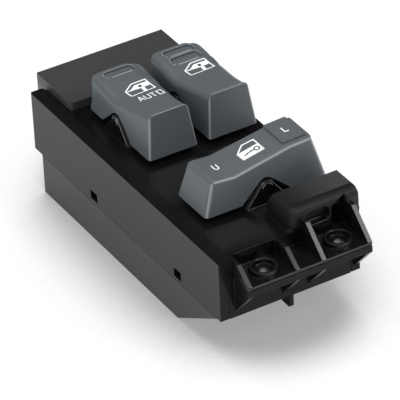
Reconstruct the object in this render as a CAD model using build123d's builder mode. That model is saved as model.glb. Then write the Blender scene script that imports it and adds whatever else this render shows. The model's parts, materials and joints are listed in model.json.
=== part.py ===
"""Door switch panel with two window rockers and a crosswise lock rocker.

Millimetres, +Z up. The origin is on the underside, at the middle of the case's width
and of its length. The front shelf points along -Y, the thin rear lip along +Y.
"""
import os
from math import asin, cos, sin

from build123d import *

os.makedirs("parts", exist_ok=True)

# Outer case
CASE_HALF_WIDTH = 21.4
CASE_HALF_LENGTH = 50.0
CASE_TOP = 30.3
CASE_WALL = 2.65
CASE_REAR_WALL = 2.4
CASE_REAR_CORNER = 0.8
SEAM_Z = 12.4
CASE_INNER_X = CASE_HALF_WIDTH - CASE_WALL
LEDGE_WIDTH = 4.15
LEDGE_INNER_X = -CASE_HALF_WIDTH + LEDGE_WIDTH
LEDGE_BOTTOM = 26.3
RIGHT_WALL_TOP = 27.5
RIGHT_NOTCH_TOP = 24.5
REAR_STRIP_HEIGHT = 1.6
SNAP_Y = (16.05, -28.2)
SNAP_WIDTH = 3.6
SNAP_LOW = 13.4
SNAP_HIGH = 16.1

# Base tray
TRAY_REAR = CASE_HALF_LENGTH - 4.6
TRAY_FRONT_LOW = -27.1
TRAY_FRONT_HIGH = -CASE_HALF_LENGTH + 2.15
TRAY_FRONT_HIGH_Z = 12.1
TRAY_WALL = 2.0
TRAY_FLOOR = 2.0
TRAY_SLOPE_WALL = 3.6
HOOK_THICK = 1.3
HOOK_WIDTH = 3.0
HOOK_GAP = 0.15
HOOK_TOP = 17.4
HOOK_BARB = 1.5
HOOK_ROOT_DEPTH = 4.5

# Connector socket on the underside
SOCKET_Y = 32.0
SOCKET_LENGTH = 25.0
SOCKET_WIDTH = 11.0
SOCKET_WALL = 1.4
SOCKET_ROOF = 10.6
SOCKET_ROOF_THICK = 1.4
SOCKET_KEY_WIDTH = 4.0
SOCKET_KEY_HEIGHT = 8.0
PIN_COLUMNS = 5
PIN_PITCH = 4.2
PIN_ROW_PITCH = 4.4
PIN_SIDE = 0.7
PIN_LOW = 5.6
PIN_ABOVE_BOARD = 1.0
PIN_CHAMFER = 0.15

# Circuit board, its posts and the larger parts on it
BOARD_LOW = 14.2
BOARD_THICK = 1.6
BOARD_TOP = BOARD_LOW + BOARD_THICK
BOARD_HALF_WIDTH = CASE_INNER_X - 2.35
BOARD_FRONT = -CASE_HALF_LENGTH + 7.0
BOARD_REAR = TRAY_REAR - 1.4
POST_RADIUS = 1.8
POST_X = BOARD_HALF_WIDTH - 2.4
POST_Y = (BOARD_REAR - 3.0, TRAY_FRONT_LOW + 3.1)
RELAY_PLACE = (-6.0, -7.5)
RELAY_SIZE = (19.0, 8.4, 10.5)
CHIP_PLACE = (9.0, -7.5)
CHIP_SIZE = (6.0, 7.6, 1.8)
CAPACITOR_PLACE = (-11.5, BOARD_FRONT + 4.0)
CAPACITOR_RADIUS = 3.1
CAPACITOR_HEIGHT = 7.5

# Carrier: front panel, lower shelf band, gussets, tab
FACE_GAP = 0.1
PANEL_HALF_WIDTH = CASE_INNER_X - 0.15
PANEL_FRONT = -CASE_HALF_LENGTH
PANEL_THICK = 2.0
PANEL_BOTTOM = 12.2
SHELF_FRONT = PANEL_FRONT - 7.5
SHELF_SPLIT = 24.7
BAND_TOP = SHELF_SPLIT - FACE_GAP
BAND_BOTTOM = 22.4
BAND_REBATE = 0.35
GUSSET_ROOT_Z = 14.0
TAB_X = 0.2
TAB_THICK = 1.2
TAB_BOTTOM = 8.4
TAB_HEEL_Z = 10.85
TAB_REAR = PANEL_FRONT + 4.1
TAB_CORNER = 0.9

# Top cover
COVER_LEFT = LEDGE_INNER_X + 0.15
COVER_RIGHT = CASE_HALF_WIDTH + 2.0
DECK_TOP = 29.7
DECK_THICK = 2.0
DECK_LOW = DECK_TOP - DECK_THICK
DECK_FRONT = PANEL_FRONT + 2.9
COVER_REAR = CASE_HALF_LENGTH + 4.4
POCKET_WALL = 1.2
SHELF_TOP = 25.45
BLOCK_LEFT = COVER_LEFT + 0.4
BLOCK_RIGHT = COVER_RIGHT - 0.1
BLOCK_FRONT = 35.2
BLOCK_TOP = 32.8
BLOCK_WALL = 2.0
BLOCK_FRONT_CORNER = 1.2
REAR_SKIRT_BOTTOM = 24.0
REAR_SKIRT_GAP = 0.3
STEP_LEFT = 1.6
STEP_REAR = DECK_FRONT + 10.5
STEP_TOP = 35.5
STEP_LEFT_ROUND = 3.0
STEP_FRONT_ROUND = 2.4
PLATE_THICK = 1.3
PLATE_X = (COVER_LEFT, -2.7, 5.3, COVER_RIGHT - 4.0)
BAND_LEFT = COVER_LEFT + 0.2
BAND_RIGHT = PLATE_X[3] + PLATE_THICK
RIB_REACH = SHELF_FRONT + 5.6
RIB_LOW_TOP = DECK_TOP
RIB_HIGH_TOP = 33.0
RIB_HIGH_REACH = SHELF_FRONT + 8.0
RING_X = (-9.25, 13.6)
RING_Y = (SHELF_FRONT + 5.3, SHELF_FRONT + 5.5)
RING_RADIUS = 4.0
RING_TOP = 26.9
RING_EDGE = 0.35
BOWL_RADIUS = 2.9
NICHE_LEFT = 6.9
NICHE_MIDDLE = 14.3
NICHE_LOW = 29.5
NICHE_TOP = 33.6
NICHE_CORNER = 1.7
NICHE_DEPTH = 2.2
TALL_NICHE_LEFT = NICHE_MIDDLE + 0.6
TALL_NICHE_LOW = 26.4
TALL_NICHE_TOP = (33.1, 34.1, 34.9)
TALL_NICHE_DEPTH = 3.4
RIGHT_NOTCH_LENGTH = DECK_FRONT + TALL_NICHE_DEPTH + POCKET_WALL + REAR_SKIRT_GAP + CASE_HALF_LENGTH

# Shelf screws
SCREW_HEAD_RADIUS = 2.3
SCREW_HEAD_LOW = SHELF_TOP
SCREW_HEAD_RISE = 1.0
SCREW_RADIUS = 1.2
SCREW_CLEARANCE = 0.3
SCREW_TIP = 21.0
SCREW_POINT = 1.2
BOSS_RADIUS = 2.4
BOSS_BOTTOM = 20.7

# Pivot towers and pins
PIVOT_Z = 34.6
TOWER_RADIUS = 2.1
TOWER_HALF_BASE = 6.4
TOWER_THICK = 1.6
TOWER_PROUD = 0.3
DISC_RADIUS = 1.5
DISC_PROUD = 0.25
PIN_RADIUS = 1.3
PIN_LENGTH = 2.0
PIN_RUNNING_GAP = 0.06
EAR_GAP = 0.4
EAR_THICK = 1.4
EAR_RADIUS = 2.8

# Rockers
SKIRT_BOTTOM = 31.5
SIDE_LEAN = 1.6 / 14.0
LEAN_HEIGHT = 14.0
CORNER_ROUND = 1.0
CORNER_FLATTENING = 1.03
ROCKER_WALL = 1.4
CAVITY_TOP = 38.8
CAVITY_TAPER = 7.0
NOTCH_RADIUS = 2.7
NOTCH_HALF_BASE = 7.65
WINDOW_WIDTH = 15.2
WINDOW_CENTRES = (-4.95, 13.7)
WINDOW_FRONT = -0.2
WINDOW_REAR = 33.7
WINDOW_PIVOT_Y = 17.4
NOSE_TOP = 44.7
NOSE_LEAN = 1.75
NOSE_THICK = 1.45
NOSE_REAR_TOP = 43.75
NOSE_EDGE = 0.4
NOSE_ROOT_ROUND = 2.2
DISH_ROUND = 9.0
DISH_Y = 18.6
DISH_TOP = 40.9
TAIL_Y = 25.6
TAIL_TOP = 41.55
REAR_TOP = 41.5
REAR_LEAN = 1.5
REAR_TOP_EDGE = 0.7
TOP_SIDE_ROUND = 2.2
REAR_CORNER_ROUND = 3.0
GROOVE_LENGTH = 8.8
GROOVE_WIDTH = 3.4
GROOVE_OFFSET = 0.95
GROOVE_FIRST_Y = 29.5
GROOVE_PITCH = 3.8
GROOVE_FLOOR = 41.0
GROOVE_CORNER = 1.3
LOCK_LEFT = -14.2
LOCK_RIGHT = 23.2
LOCK_FRONT = -32.0
LOCK_REAR = -17.1
LOCK_PIVOT_X = 4.6
LOCK_CENTRE_Y = (LOCK_FRONT + LOCK_REAR) / 2
LOCK_HALF_WIDTH = (LOCK_REAR - LOCK_FRONT) / 2
LOCK_LEFT_LEAN = 2.9
LOCK_LEFT_TOP = 41.35
LOCK_DIP = 9.8
LOCK_DIP_TOP = 40.75
LOCK_CREST_X = 12.4
LOCK_CREST_TOP = 43.6
LOCK_RIGHT_LEAN = 3.4
LOCK_RIGHT_TOP = 43.9
LOCK_LEFT_ROUND = 1.6
LOCK_RIGHT_ROUND = 2.6
LOCK_LONG_EDGE = 1.1
LOCK_CORNER_ROUND = 1.4
LOCK_CAVITY_TAPER = 14.0
PAD_LEFT = 11.8
PAD_RIGHT = LOCK_RIGHT - 4.6
PAD_FRONT = LOCK_FRONT + 3.2
PAD_REAR = LOCK_REAR - 1.7
PAD_RISE = 0.5

# Detent plungers and springs
TUBE_RADIUS = 3.0
TUBE_BOTTOM = 31.0
TUBE_ROOF = 39.3
PLUNGER_RADIUS = 2.0
PLUNGER_RUNNING_GAP = 0.08
PLUNGER_TOP = 37.0
PLUNGER_SHOULDER = 27.4
PLUNGER_BORE = 1.4
PLUNGER_BORE_BOTTOM = 31.8
PLUNGER_TIP_RADIUS = 1.2
SPRING_RADIUS = 1.0
SPRING_WIRE = 0.22
SPRING_TURNS = 5

# See-saw contacts
FULCRUM_AXIS_Z = 20.5
FULCRUM_RADIUS = 0.8
FULCRUM_WIDTH = 3.4
FULCRUM_FOOT = 3.0
BLADE_GAP = 0.3
BLADE_THICK = 0.5
BLADE_HALF_LENGTH = 8.0
BLADE_WIDTH = 4.0
BLADE_RISE = 0.85
TIP_GAP = 0.4
CONTACT_REACH = 7.0
CONTACT_TOP = 21.3
CONTACT_RADIUS = 1.1
CONTACT_EDGE = 0.4

BLADE_LOW = FULCRUM_AXIS_Z + FULCRUM_RADIUS + BLADE_GAP
PLUNGER_TIP_Z = BLADE_LOW + BLADE_THICK + TIP_GAP
SWITCHES = (
    ("driver", WINDOW_CENTRES[0], WINDOW_PIVOT_Y, 90.0),
    ("passenger", WINDOW_CENTRES[1], WINDOW_PIVOT_Y, 90.0),
    ("lock", LOCK_PIVOT_X, LOCK_CENTRE_Y, 0.0),
)


def save(part, label):
    """Labels a finished solid and writes it to its own file."""
    part.label = label
    export_step(part, "parts/" + label + ".step")


# Outer case: side walls, rear wall, the left ledge and the snap windows
with BuildPart() as outer_case:
    with BuildSketch(Plane.XZ.offset(-CASE_HALF_LENGTH)):
        with BuildLine():
            Polyline(
                (-CASE_HALF_WIDTH, SEAM_Z),
                (-CASE_INNER_X, SEAM_Z),
                (-CASE_INNER_X, LEDGE_BOTTOM),
                (LEDGE_INNER_X, LEDGE_BOTTOM),
                (LEDGE_INNER_X, CASE_TOP),
                (-CASE_HALF_WIDTH, CASE_TOP),
                close=True,
            )
        make_face()
        with BuildLine():
            Polyline(
                (CASE_INNER_X, SEAM_Z),
                (CASE_HALF_WIDTH, SEAM_Z),
                (CASE_HALF_WIDTH, RIGHT_WALL_TOP),
                (CASE_INNER_X, RIGHT_WALL_TOP),
                close=True,
            )
        make_face()
    extrude(amount=2 * CASE_HALF_LENGTH)
    with BuildSketch(Plane.XY.offset(SEAM_Z)):
        with Locations((0, CASE_HALF_LENGTH - CASE_REAR_WALL / 2)):
            Rectangle(2 * CASE_HALF_WIDTH, CASE_REAR_WALL)
    extrude(amount=RIGHT_WALL_TOP - SEAM_Z)
    with BuildSketch(Plane.XY.offset(SEAM_Z)):
        with Locations((0, (TRAY_REAR + CASE_HALF_LENGTH) / 2)):
            Rectangle(2 * CASE_HALF_WIDTH, CASE_HALF_LENGTH - TRAY_REAR)
    extrude(amount=REAR_STRIP_HEIGHT)
    for side in (-1, 1):
        for snap_y in SNAP_Y:
            middle_z = (SNAP_LOW + SNAP_HIGH) / 2
            with Locations((side * (CASE_HALF_WIDTH - CASE_WALL / 2), snap_y, middle_z)):
                Box(2 * CASE_WALL, SNAP_WIDTH, SNAP_HIGH - SNAP_LOW, mode=Mode.SUBTRACT)
    # The right wall is lower at the front, where the shelf and its rib pass over it
    with BuildSketch(Plane.XY.offset(RIGHT_NOTCH_TOP)):
        with Locations((CASE_HALF_WIDTH, -CASE_HALF_LENGTH)):
            Rectangle(4 * CASE_WALL, 2 * RIGHT_NOTCH_LENGTH)
    extrude(amount=RIGHT_WALL_TOP, mode=Mode.SUBTRACT)
    case_corners = outer_case.edges().filter_by(Axis.Z).filter_by_position(
        Axis.Y, CASE_HALF_LENGTH - 0.01, CASE_HALF_LENGTH + 0.01)
    fillet(case_corners, CASE_REAR_CORNER)
save(outer_case.part, "outer_case")

# Base tray: floor, sloped front, low walls, hooks and the connector socket
with BuildPart() as base_tray:
    with BuildSketch(Plane.YZ):
        with BuildLine():
            Polyline(
                (TRAY_FRONT_LOW, 0),
                (TRAY_REAR, 0),
                (TRAY_REAR, SEAM_Z),
                (TRAY_FRONT_HIGH, SEAM_Z),
                (TRAY_FRONT_HIGH, TRAY_FRONT_HIGH_Z),
                close=True,
            )
        make_face()
    extrude(amount=CASE_HALF_WIDTH, both=True)
    with BuildSketch(Plane.YZ):
        with BuildLine():
            Polyline(
                (TRAY_FRONT_LOW + 0.6, TRAY_FLOOR),
                (TRAY_REAR - TRAY_WALL, TRAY_FLOOR),
                (TRAY_REAR - TRAY_WALL, SEAM_Z + 1),
                (TRAY_FRONT_HIGH + TRAY_SLOPE_WALL, SEAM_Z + 1),
                (TRAY_FRONT_HIGH + TRAY_SLOPE_WALL, SEAM_Z - 0.3),
                close=True,
            )
        make_face()
    extrude(amount=CASE_HALF_WIDTH - TRAY_WALL, both=True, mode=Mode.SUBTRACT)
    # Socket: a roofed pocket that opens downwards
    with Locations((0, SOCKET_Y, (SOCKET_ROOF + SOCKET_ROOF_THICK) / 2)):
        Box(SOCKET_LENGTH + 2 * SOCKET_WALL, SOCKET_WIDTH + 2 * SOCKET_WALL,
            SOCKET_ROOF + SOCKET_ROOF_THICK)
    with Locations((0, SOCKET_Y, SOCKET_ROOF / 2 - 1)):
        Box(SOCKET_LENGTH, SOCKET_WIDTH, SOCKET_ROOF + 2, mode=Mode.SUBTRACT)
    with Locations((0, SOCKET_Y - SOCKET_WIDTH / 2, SOCKET_KEY_HEIGHT / 2)):
        Box(SOCKET_KEY_WIDTH, SOCKET_WALL, SOCKET_KEY_HEIGHT, mode=Mode.SUBTRACT)
    # Holes for the terminals
    with Locations((0, SOCKET_Y, SOCKET_ROOF + SOCKET_ROOF_THICK / 2)):
        with GridLocations(PIN_PITCH, PIN_ROW_PITCH, PIN_COLUMNS, 2):
            Box(PIN_SIDE, PIN_SIDE, 2 * SOCKET_ROOF_THICK, mode=Mode.SUBTRACT)
    # Posts that hold the board
    with BuildSketch(Plane.XY.offset(TRAY_FLOOR)):
        for post_y in POST_Y:
            with Locations((-POST_X, post_y), (POST_X, post_y)):
                Circle(POST_RADIUS)
    extrude(amount=BOARD_LOW - TRAY_FLOOR)
    # Hooks that rise inside the case and catch in its windows
    for side in (-1, 1):
        for snap_y in SNAP_Y:
            outer_x = CASE_INNER_X - HOOK_GAP
            with BuildSketch(Plane.XZ.offset(-snap_y - HOOK_WIDTH / 2)):
                with BuildLine():
                    Polyline(
                        (side * (CASE_HALF_WIDTH - TRAY_WALL + 0.2), SEAM_Z - HOOK_ROOT_DEPTH),
                        (side * (outer_x - HOOK_THICK), SEAM_Z - HOOK_ROOT_DEPTH + HOOK_THICK),
                        (side * (outer_x - HOOK_THICK), HOOK_TOP),
                        (side * outer_x, HOOK_TOP),
                        (side * outer_x, SNAP_HIGH - 0.3),
                        (side * (outer_x + HOOK_BARB), SNAP_LOW + 1.1),
                        (side * (outer_x + HOOK_BARB), SNAP_LOW + 0.2),
                        (side * outer_x, SNAP_LOW + 0.2),
                        (side * outer_x, SEAM_Z),
                        (side * (CASE_HALF_WIDTH - TRAY_WALL + 0.2), SEAM_Z),
                        close=True,
                    )
                make_face()
            extrude(amount=HOOK_WIDTH)
save(base_tray.part, "base_tray")

# Carrier: the front panel with the lower shelf band, its gussets and the tab
with BuildPart() as carrier_frame:
    with BuildSketch(Plane.XZ.offset(-PANEL_FRONT)):
        with BuildLine():
            Polyline(
                (-PANEL_HALF_WIDTH, PANEL_BOTTOM),
                (PANEL_HALF_WIDTH, PANEL_BOTTOM),
                (PANEL_HALF_WIDTH, BAND_TOP),
                (COVER_LEFT - FACE_GAP, BAND_TOP),
                (COVER_LEFT - FACE_GAP, LEDGE_BOTTOM - FACE_GAP),
                (-PANEL_HALF_WIDTH, LEDGE_BOTTOM - FACE_GAP),
                close=True,
            )
        make_face()
    extrude(amount=-PANEL_THICK)
    with BuildSketch(Plane.XY.offset(BAND_BOTTOM)):
        with BuildLine():
            Polyline(
                (BAND_LEFT, SHELF_FRONT),
                (BAND_RIGHT, SHELF_FRONT),
                (BAND_RIGHT, PANEL_FRONT),
                (BAND_LEFT, PANEL_FRONT),
                close=True,
            )
        make_face()
    extrude(amount=BAND_TOP - BAND_BOTTOM)
    # A rebate along the band's top edge leaves a shadow line under the shelf
    with Locations(((BAND_LEFT + BAND_RIGHT) / 2, SHELF_FRONT, BAND_TOP)):
        Box(2 * CASE_HALF_WIDTH, 2 * BAND_REBATE, 2 * BAND_REBATE, mode=Mode.SUBTRACT)
    for plate_x in PLATE_X:
        with BuildSketch(Plane.YZ.offset(max(plate_x, BAND_LEFT))):
            with BuildLine():
                Polyline(
                    (PANEL_FRONT, GUSSET_ROOT_Z),
                    (PANEL_FRONT, BAND_BOTTOM),
                    (SHELF_FRONT, BAND_BOTTOM),
                    close=True,
                )
            make_face()
        extrude(amount=PLATE_THICK)
    with BuildSketch(Plane.YZ.offset(TAB_X - TAB_THICK / 2)) as tab_sketch:
        with BuildLine():
            Polyline(
                (PANEL_FRONT, PANEL_BOTTOM),
                (PANEL_FRONT + PANEL_THICK, PANEL_BOTTOM),
                (TAB_REAR, TAB_HEEL_Z),
                (TAB_REAR, TAB_BOTTOM),
                (PANEL_FRONT, TAB_BOTTOM),
                close=True,
            )
        make_face()
        fillet(tab_sketch.vertices().sort_by(Axis.Y)[:1], TAB_CORNER)
    extrude(amount=TAB_THICK)
    # Screw bosses under the shelf
    with BuildSketch(Plane.XY.offset(BOSS_BOTTOM)):
        with Locations((RING_X[0], RING_Y[0]), (RING_X[1], RING_Y[1])):
            Circle(BOSS_RADIUS)
    extrude(amount=BAND_BOTTOM - BOSS_BOTTOM)
    with BuildSketch(Plane.XY.offset(BOSS_BOTTOM)):
        with Locations((RING_X[0], RING_Y[0]), (RING_X[1], RING_Y[1])):
            Circle(SCREW_RADIUS)
    extrude(amount=SHELF_SPLIT - BOSS_BOTTOM, mode=Mode.SUBTRACT)
save(carrier_frame.part, "carrier_frame")

# Top cover: deck, rear block, front step, shelf with ribs and rings, pivot towers
with BuildPart() as top_cover:
    with BuildSketch(Plane.XY.offset(DECK_LOW)):
        with BuildLine():
            Polyline(
                (COVER_LEFT, DECK_FRONT),
                (COVER_RIGHT, DECK_FRONT),
                (COVER_RIGHT, CASE_HALF_LENGTH),
                (COVER_LEFT, CASE_HALF_LENGTH),
                close=True,
            )
        make_face()
    extrude(amount=DECK_THICK)
    # Rear block with its lip behind the case
    with BuildSketch(Plane.XY.offset(DECK_LOW)):
        with BuildLine():
            Polyline(
                (BLOCK_LEFT, BLOCK_FRONT),
                (BLOCK_RIGHT, BLOCK_FRONT),
                (BLOCK_RIGHT, COVER_REAR),
                (BLOCK_LEFT, COVER_REAR),
                close=True,
            )
        make_face()
    extrude(amount=BLOCK_TOP - DECK_LOW)
    block_corner = top_cover.edges().filter_by(Axis.Z).group_by(Axis.Z)[-1]
    fillet(block_corner.filter_by_position(Axis.Y, BLOCK_FRONT - 0.1, BLOCK_FRONT + 0.1), BLOCK_FRONT_CORNER)
    lip_front = CASE_HALF_LENGTH + REAR_SKIRT_GAP
    with BuildSketch(Plane.XY.offset(REAR_SKIRT_BOTTOM)):
        with Locations(((BLOCK_LEFT + BLOCK_RIGHT) / 2, (lip_front + COVER_REAR) / 2)):
            Rectangle(BLOCK_RIGHT - BLOCK_LEFT, COVER_REAR - lip_front)
    extrude(amount=BLOCK_TOP - 1 - REAR_SKIRT_BOTTOM)
    hollow_length = CASE_HALF_LENGTH - 4 - BLOCK_FRONT - BLOCK_WALL
    with Locations((((BLOCK_LEFT + BLOCK_RIGHT) / 2),
                    BLOCK_FRONT + BLOCK_WALL + hollow_length / 2,
                    (BLOCK_TOP - BLOCK_WALL + DECK_LOW) / 2 - 0.5)):
        Box(BLOCK_RIGHT - BLOCK_LEFT - 2 * BLOCK_WALL, hollow_length,
            BLOCK_TOP - BLOCK_WALL - DECK_LOW + 1, mode=Mode.SUBTRACT)
    # Pocket wall down to the shelf, and the shelf itself
    with BuildSketch(Plane.XY.offset(SHELF_SPLIT)):
        with BuildLine():
            Polyline(
                (COVER_LEFT, DECK_FRONT),
                (BAND_RIGHT, DECK_FRONT),
                (BAND_RIGHT, DECK_FRONT + POCKET_WALL),
                (COVER_LEFT, DECK_FRONT + POCKET_WALL),
                close=True,
            )
        make_face()
    extrude(amount=DECK_LOW - SHELF_SPLIT)
    with BuildSketch(Plane.XY.offset(SHELF_SPLIT)):
        with BuildLine():
            Polyline(
                (COVER_LEFT, SHELF_FRONT),
                (BAND_RIGHT, SHELF_FRONT),
                (BAND_RIGHT, DECK_FRONT),
                (COVER_LEFT, DECK_FRONT),
                close=True,
            )
        make_face()
    extrude(amount=SHELF_TOP - SHELF_SPLIT)
    # Front step on the right, softly rounded to the left and to the front
    with BuildSketch(Plane.XY.offset(DECK_LOW)):
        with BuildLine():
            Polyline(
                (STEP_LEFT, DECK_FRONT),
                (BLOCK_RIGHT, DECK_FRONT),
                (BLOCK_RIGHT, STEP_REAR),
                (STEP_LEFT, STEP_REAR),
                close=True,
            )
        make_face()
    extrude(amount=STEP_TOP - DECK_LOW)
    step_edges = top_cover.edges().filter_by(Axis.Y).group_by(Axis.Z)[-1]
    fillet(step_edges.sort_by(Axis.X)[:1], STEP_LEFT_ROUND)
    step_front = top_cover.edges().filter_by(Axis.X).group_by(Axis.Z)[-1]
    fillet(step_front.sort_by(Axis.Y)[:1], STEP_FRONT_ROUND)
    # A low rounded niche and a tall deep one in the step's front, over the right screw
    with BuildSketch(Plane.XZ.offset(-DECK_FRONT)):
        with Locations(((NICHE_LEFT + NICHE_MIDDLE) / 2, (NICHE_LOW + NICHE_TOP) / 2)):
            RectangleRounded(NICHE_MIDDLE - NICHE_LEFT, NICHE_TOP - NICHE_LOW, NICHE_CORNER)
    extrude(amount=-NICHE_DEPTH, mode=Mode.SUBTRACT)
    with BuildSketch(Plane.XY.offset(SHELF_SPLIT)):
        with BuildLine():
            Polyline(
                (TALL_NICHE_LEFT - POCKET_WALL, DECK_FRONT),
                (BAND_RIGHT, DECK_FRONT),
                (BAND_RIGHT, DECK_FRONT + TALL_NICHE_DEPTH + POCKET_WALL),
                (TALL_NICHE_LEFT - POCKET_WALL, DECK_FRONT + TALL_NICHE_DEPTH + POCKET_WALL),
                close=True,
            )
        make_face()
    extrude(amount=DECK_LOW - SHELF_SPLIT)
    with BuildSketch(Plane.XZ.offset(-DECK_FRONT)):
        with BuildLine():
            Polyline(
                (TALL_NICHE_LEFT, TALL_NICHE_LOW),
                (PLATE_X[3], TALL_NICHE_LOW),
                (PLATE_X[3], TALL_NICHE_TOP[2]),
                ((TALL_NICHE_LEFT + PLATE_X[3]) / 2, TALL_NICHE_TOP[1]),
                (TALL_NICHE_LEFT, TALL_NICHE_TOP[0]),
                close=True,
            )
        make_face()
    extrude(amount=-TALL_NICHE_DEPTH, mode=Mode.SUBTRACT)
    # Ribs that run down to the shelf's front edge
    for plate_x in PLATE_X[:2]:
        with BuildSketch(Plane.YZ.offset(plate_x)):
            with BuildLine():
                Polyline(
                    (SHELF_FRONT, SHELF_TOP),
                    (RIB_REACH, RIB_LOW_TOP),
                    (DECK_FRONT + POCKET_WALL, RIB_LOW_TOP),
                    (DECK_FRONT + POCKET_WALL, SHELF_SPLIT),
                    (SHELF_FRONT, SHELF_SPLIT),
                    close=True,
                )
            make_face()
        extrude(amount=PLATE_THICK)
    for plate_x in PLATE_X[2:]:
        with BuildSketch(Plane.YZ.offset(plate_x)):
            with BuildLine():
                Polyline(
                    (SHELF_FRONT, SHELF_TOP),
                    (RIB_HIGH_REACH, RIB_HIGH_TOP),
                    (DECK_FRONT + POCKET_WALL, RIB_HIGH_TOP),
                    (DECK_FRONT + POCKET_WALL, SHELF_SPLIT),
                    (SHELF_FRONT, SHELF_SPLIT),
                    close=True,
                )
            make_face()
        extrude(amount=PLATE_THICK)
    # Screw rings
    with BuildSketch(Plane.XY.offset(SHELF_SPLIT)):
        with Locations((RING_X[0], RING_Y[0]), (RING_X[1], RING_Y[1])):
            Circle(RING_RADIUS)
    extrude(amount=RING_TOP - SHELF_SPLIT)
    with BuildSketch(Plane.XY.offset(SHELF_TOP)):
        with Locations((RING_X[0], RING_Y[0]), (RING_X[1], RING_Y[1])):
            Circle(BOWL_RADIUS)
    extrude(amount=RING_TOP - SHELF_TOP, mode=Mode.SUBTRACT)
    with BuildSketch(Plane.XY.offset(SHELF_SPLIT)):
        with Locations((RING_X[0], RING_Y[0]), (RING_X[1], RING_Y[1])):
            Circle(SCREW_RADIUS + SCREW_CLEARANCE)
    extrude(amount=RING_TOP - SHELF_SPLIT, mode=Mode.SUBTRACT)
    ring_edges = top_cover.edges().filter_by(GeomType.CIRCLE).filter_by_position(
        Axis.Z, RING_TOP - 0.01, RING_TOP + 0.01)
    fillet(ring_edges, RING_EDGE)
    # Openings in the deck for the plungers
    with BuildSketch(Plane.XY.offset(DECK_TOP)):
        with Locations((WINDOW_CENTRES[0], WINDOW_PIVOT_Y), (WINDOW_CENTRES[1], WINDOW_PIVOT_Y)):
            Rectangle(7.6, 10.0)
        with Locations((LOCK_PIVOT_X, LOCK_CENTRE_Y)):
            Rectangle(10.0, 7.6)
    extrude(amount=-DECK_THICK, mode=Mode.SUBTRACT)
    # Pivot towers with their pins and outer discs
    for name, centre_x, centre_y, turn in SWITCHES:
        across = (WINDOW_WIDTH if turn else LOCK_REAR - LOCK_FRONT) / 2
        outer = across + TOWER_PROUD
        for side in (-1, 1):
            if turn:
                face = Plane((centre_x + side * outer, centre_y, PIVOT_Z),
                             x_dir=(0, side, 0), z_dir=(side, 0, 0))
            else:
                face = Plane((centre_x, centre_y + side * outer, PIVOT_Z),
                             x_dir=(-side, 0, 0), z_dir=(0, side, 0))
            with BuildSketch(face):
                Circle(TOWER_RADIUS)
                with Locations((0, DECK_TOP - 0.2 - PIVOT_Z)):
                    Rectangle(2 * TOWER_HALF_BASE, 0.4)
                make_hull()
            extrude(amount=-TOWER_THICK)
            with BuildSketch(face.offset(DISC_PROUD)):
                Circle(DISC_RADIUS)
            extrude(amount=-DISC_PROUD)
            with BuildSketch(face.offset(-TOWER_THICK)):
                Circle(PIN_RADIUS)
            extrude(amount=-PIN_LENGTH)
save(top_cover.part, "top_cover")


def pivot_fittings(centre_x, centre_y, turn, half_width):
    """Notches to cut, ears and tube to add, and bores to cut, for one rocker."""
    outer = half_width + TOWER_PROUD
    if turn:
        middle = Plane((centre_x, centre_y, PIVOT_Z), x_dir=(0, 1, 0), z_dir=(1, 0, 0))
    else:
        middle = Plane((centre_x, centre_y, PIVOT_Z), x_dir=(-1, 0, 0), z_dir=(0, 1, 0))
    with BuildPart() as notches:
        with BuildSketch(middle):
            Circle(NOTCH_RADIUS)
            with Locations((0, SKIRT_BOTTOM - PIVOT_Z - 0.25)):
                Rectangle(2 * NOTCH_HALF_BASE, 0.5)
            make_hull()
        extrude(amount=half_width + 1, both=True)
    ear_outer = outer - TOWER_THICK - EAR_GAP
    ear_height = CAVITY_TOP + 0.6 - PIVOT_Z
    with BuildPart() as fittings:
        for side in (-1, 1):
            with BuildSketch(middle.offset(side * ear_outer)):
                Circle(EAR_RADIUS)
                with Locations((0, ear_height / 2)):
                    Rectangle(2 * EAR_RADIUS, ear_height)
            extrude(amount=-side * EAR_THICK)
        with BuildSketch(Plane.XY.offset(TUBE_BOTTOM)):
            with Locations((centre_x, centre_y)):
                Circle(TUBE_RADIUS)
        extrude(amount=CAVITY_TOP + 0.3 - TUBE_BOTTOM)
    with BuildPart() as bores:
        for side in (-1, 1):
            with BuildSketch(middle.offset(side * (ear_outer + 0.2))):
                Circle(PIN_RADIUS + PIN_RUNNING_GAP)
            extrude(amount=-side * (EAR_THICK + 0.4))
        with BuildSketch(Plane.XY.offset(TUBE_BOTTOM - 0.5)):
            with Locations((centre_x, centre_y)):
                Circle(PLUNGER_RADIUS + PLUNGER_RUNNING_GAP)
        extrude(amount=TUBE_ROOF - TUBE_BOTTOM + 0.5)
    return notches.part, fittings.part, bores.part


def corner_cutter(x, y, turn_x, turn_y, radius, lean_x, lean_y):
    """What rounds one upright corner of a rocker when cut away; it leans inwards as the walls do."""
    with BuildPart() as cutter:
        with BuildSketch(Plane.XY.offset(SKIRT_BOTTOM)):
            with BuildLine():
                Line((x, y - turn_y * radius), (x + turn_x, y - turn_y * radius))
                Line((x + turn_x, y - turn_y * radius), (x + turn_x, y + turn_y))
                Line((x + turn_x, y + turn_y), (x - turn_x * radius, y + turn_y))
                Line((x - turn_x * radius, y + turn_y), (x - turn_x * radius, y))
                RadiusArc((x - turn_x * radius, y), (x, y - turn_y * radius),
                          CORNER_FLATTENING * radius * turn_x * turn_y)
            make_face()
        extrude(amount=LEAN_HEIGHT, dir=(-turn_x * lean_x, -turn_y * lean_y, 1))
    return cutter.part


def long_top_edges(rocker, across, middle, half_width, low):
    """The edges along both long sides of a rocker's top."""
    chosen = []
    for edge in rocker.edges():
        ends = (edge.position_at(0), edge.position_at(0.5), edge.position_at(1))
        heights = [point.Z for point in ends]
        offsets = [abs((point.Y if across else point.X) - middle) for point in ends]
        if min(heights) > low and min(offsets) > half_width - 2.6 and max(offsets) - min(offsets) < 1.5:
            chosen.append(edge)
    return chosen


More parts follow.
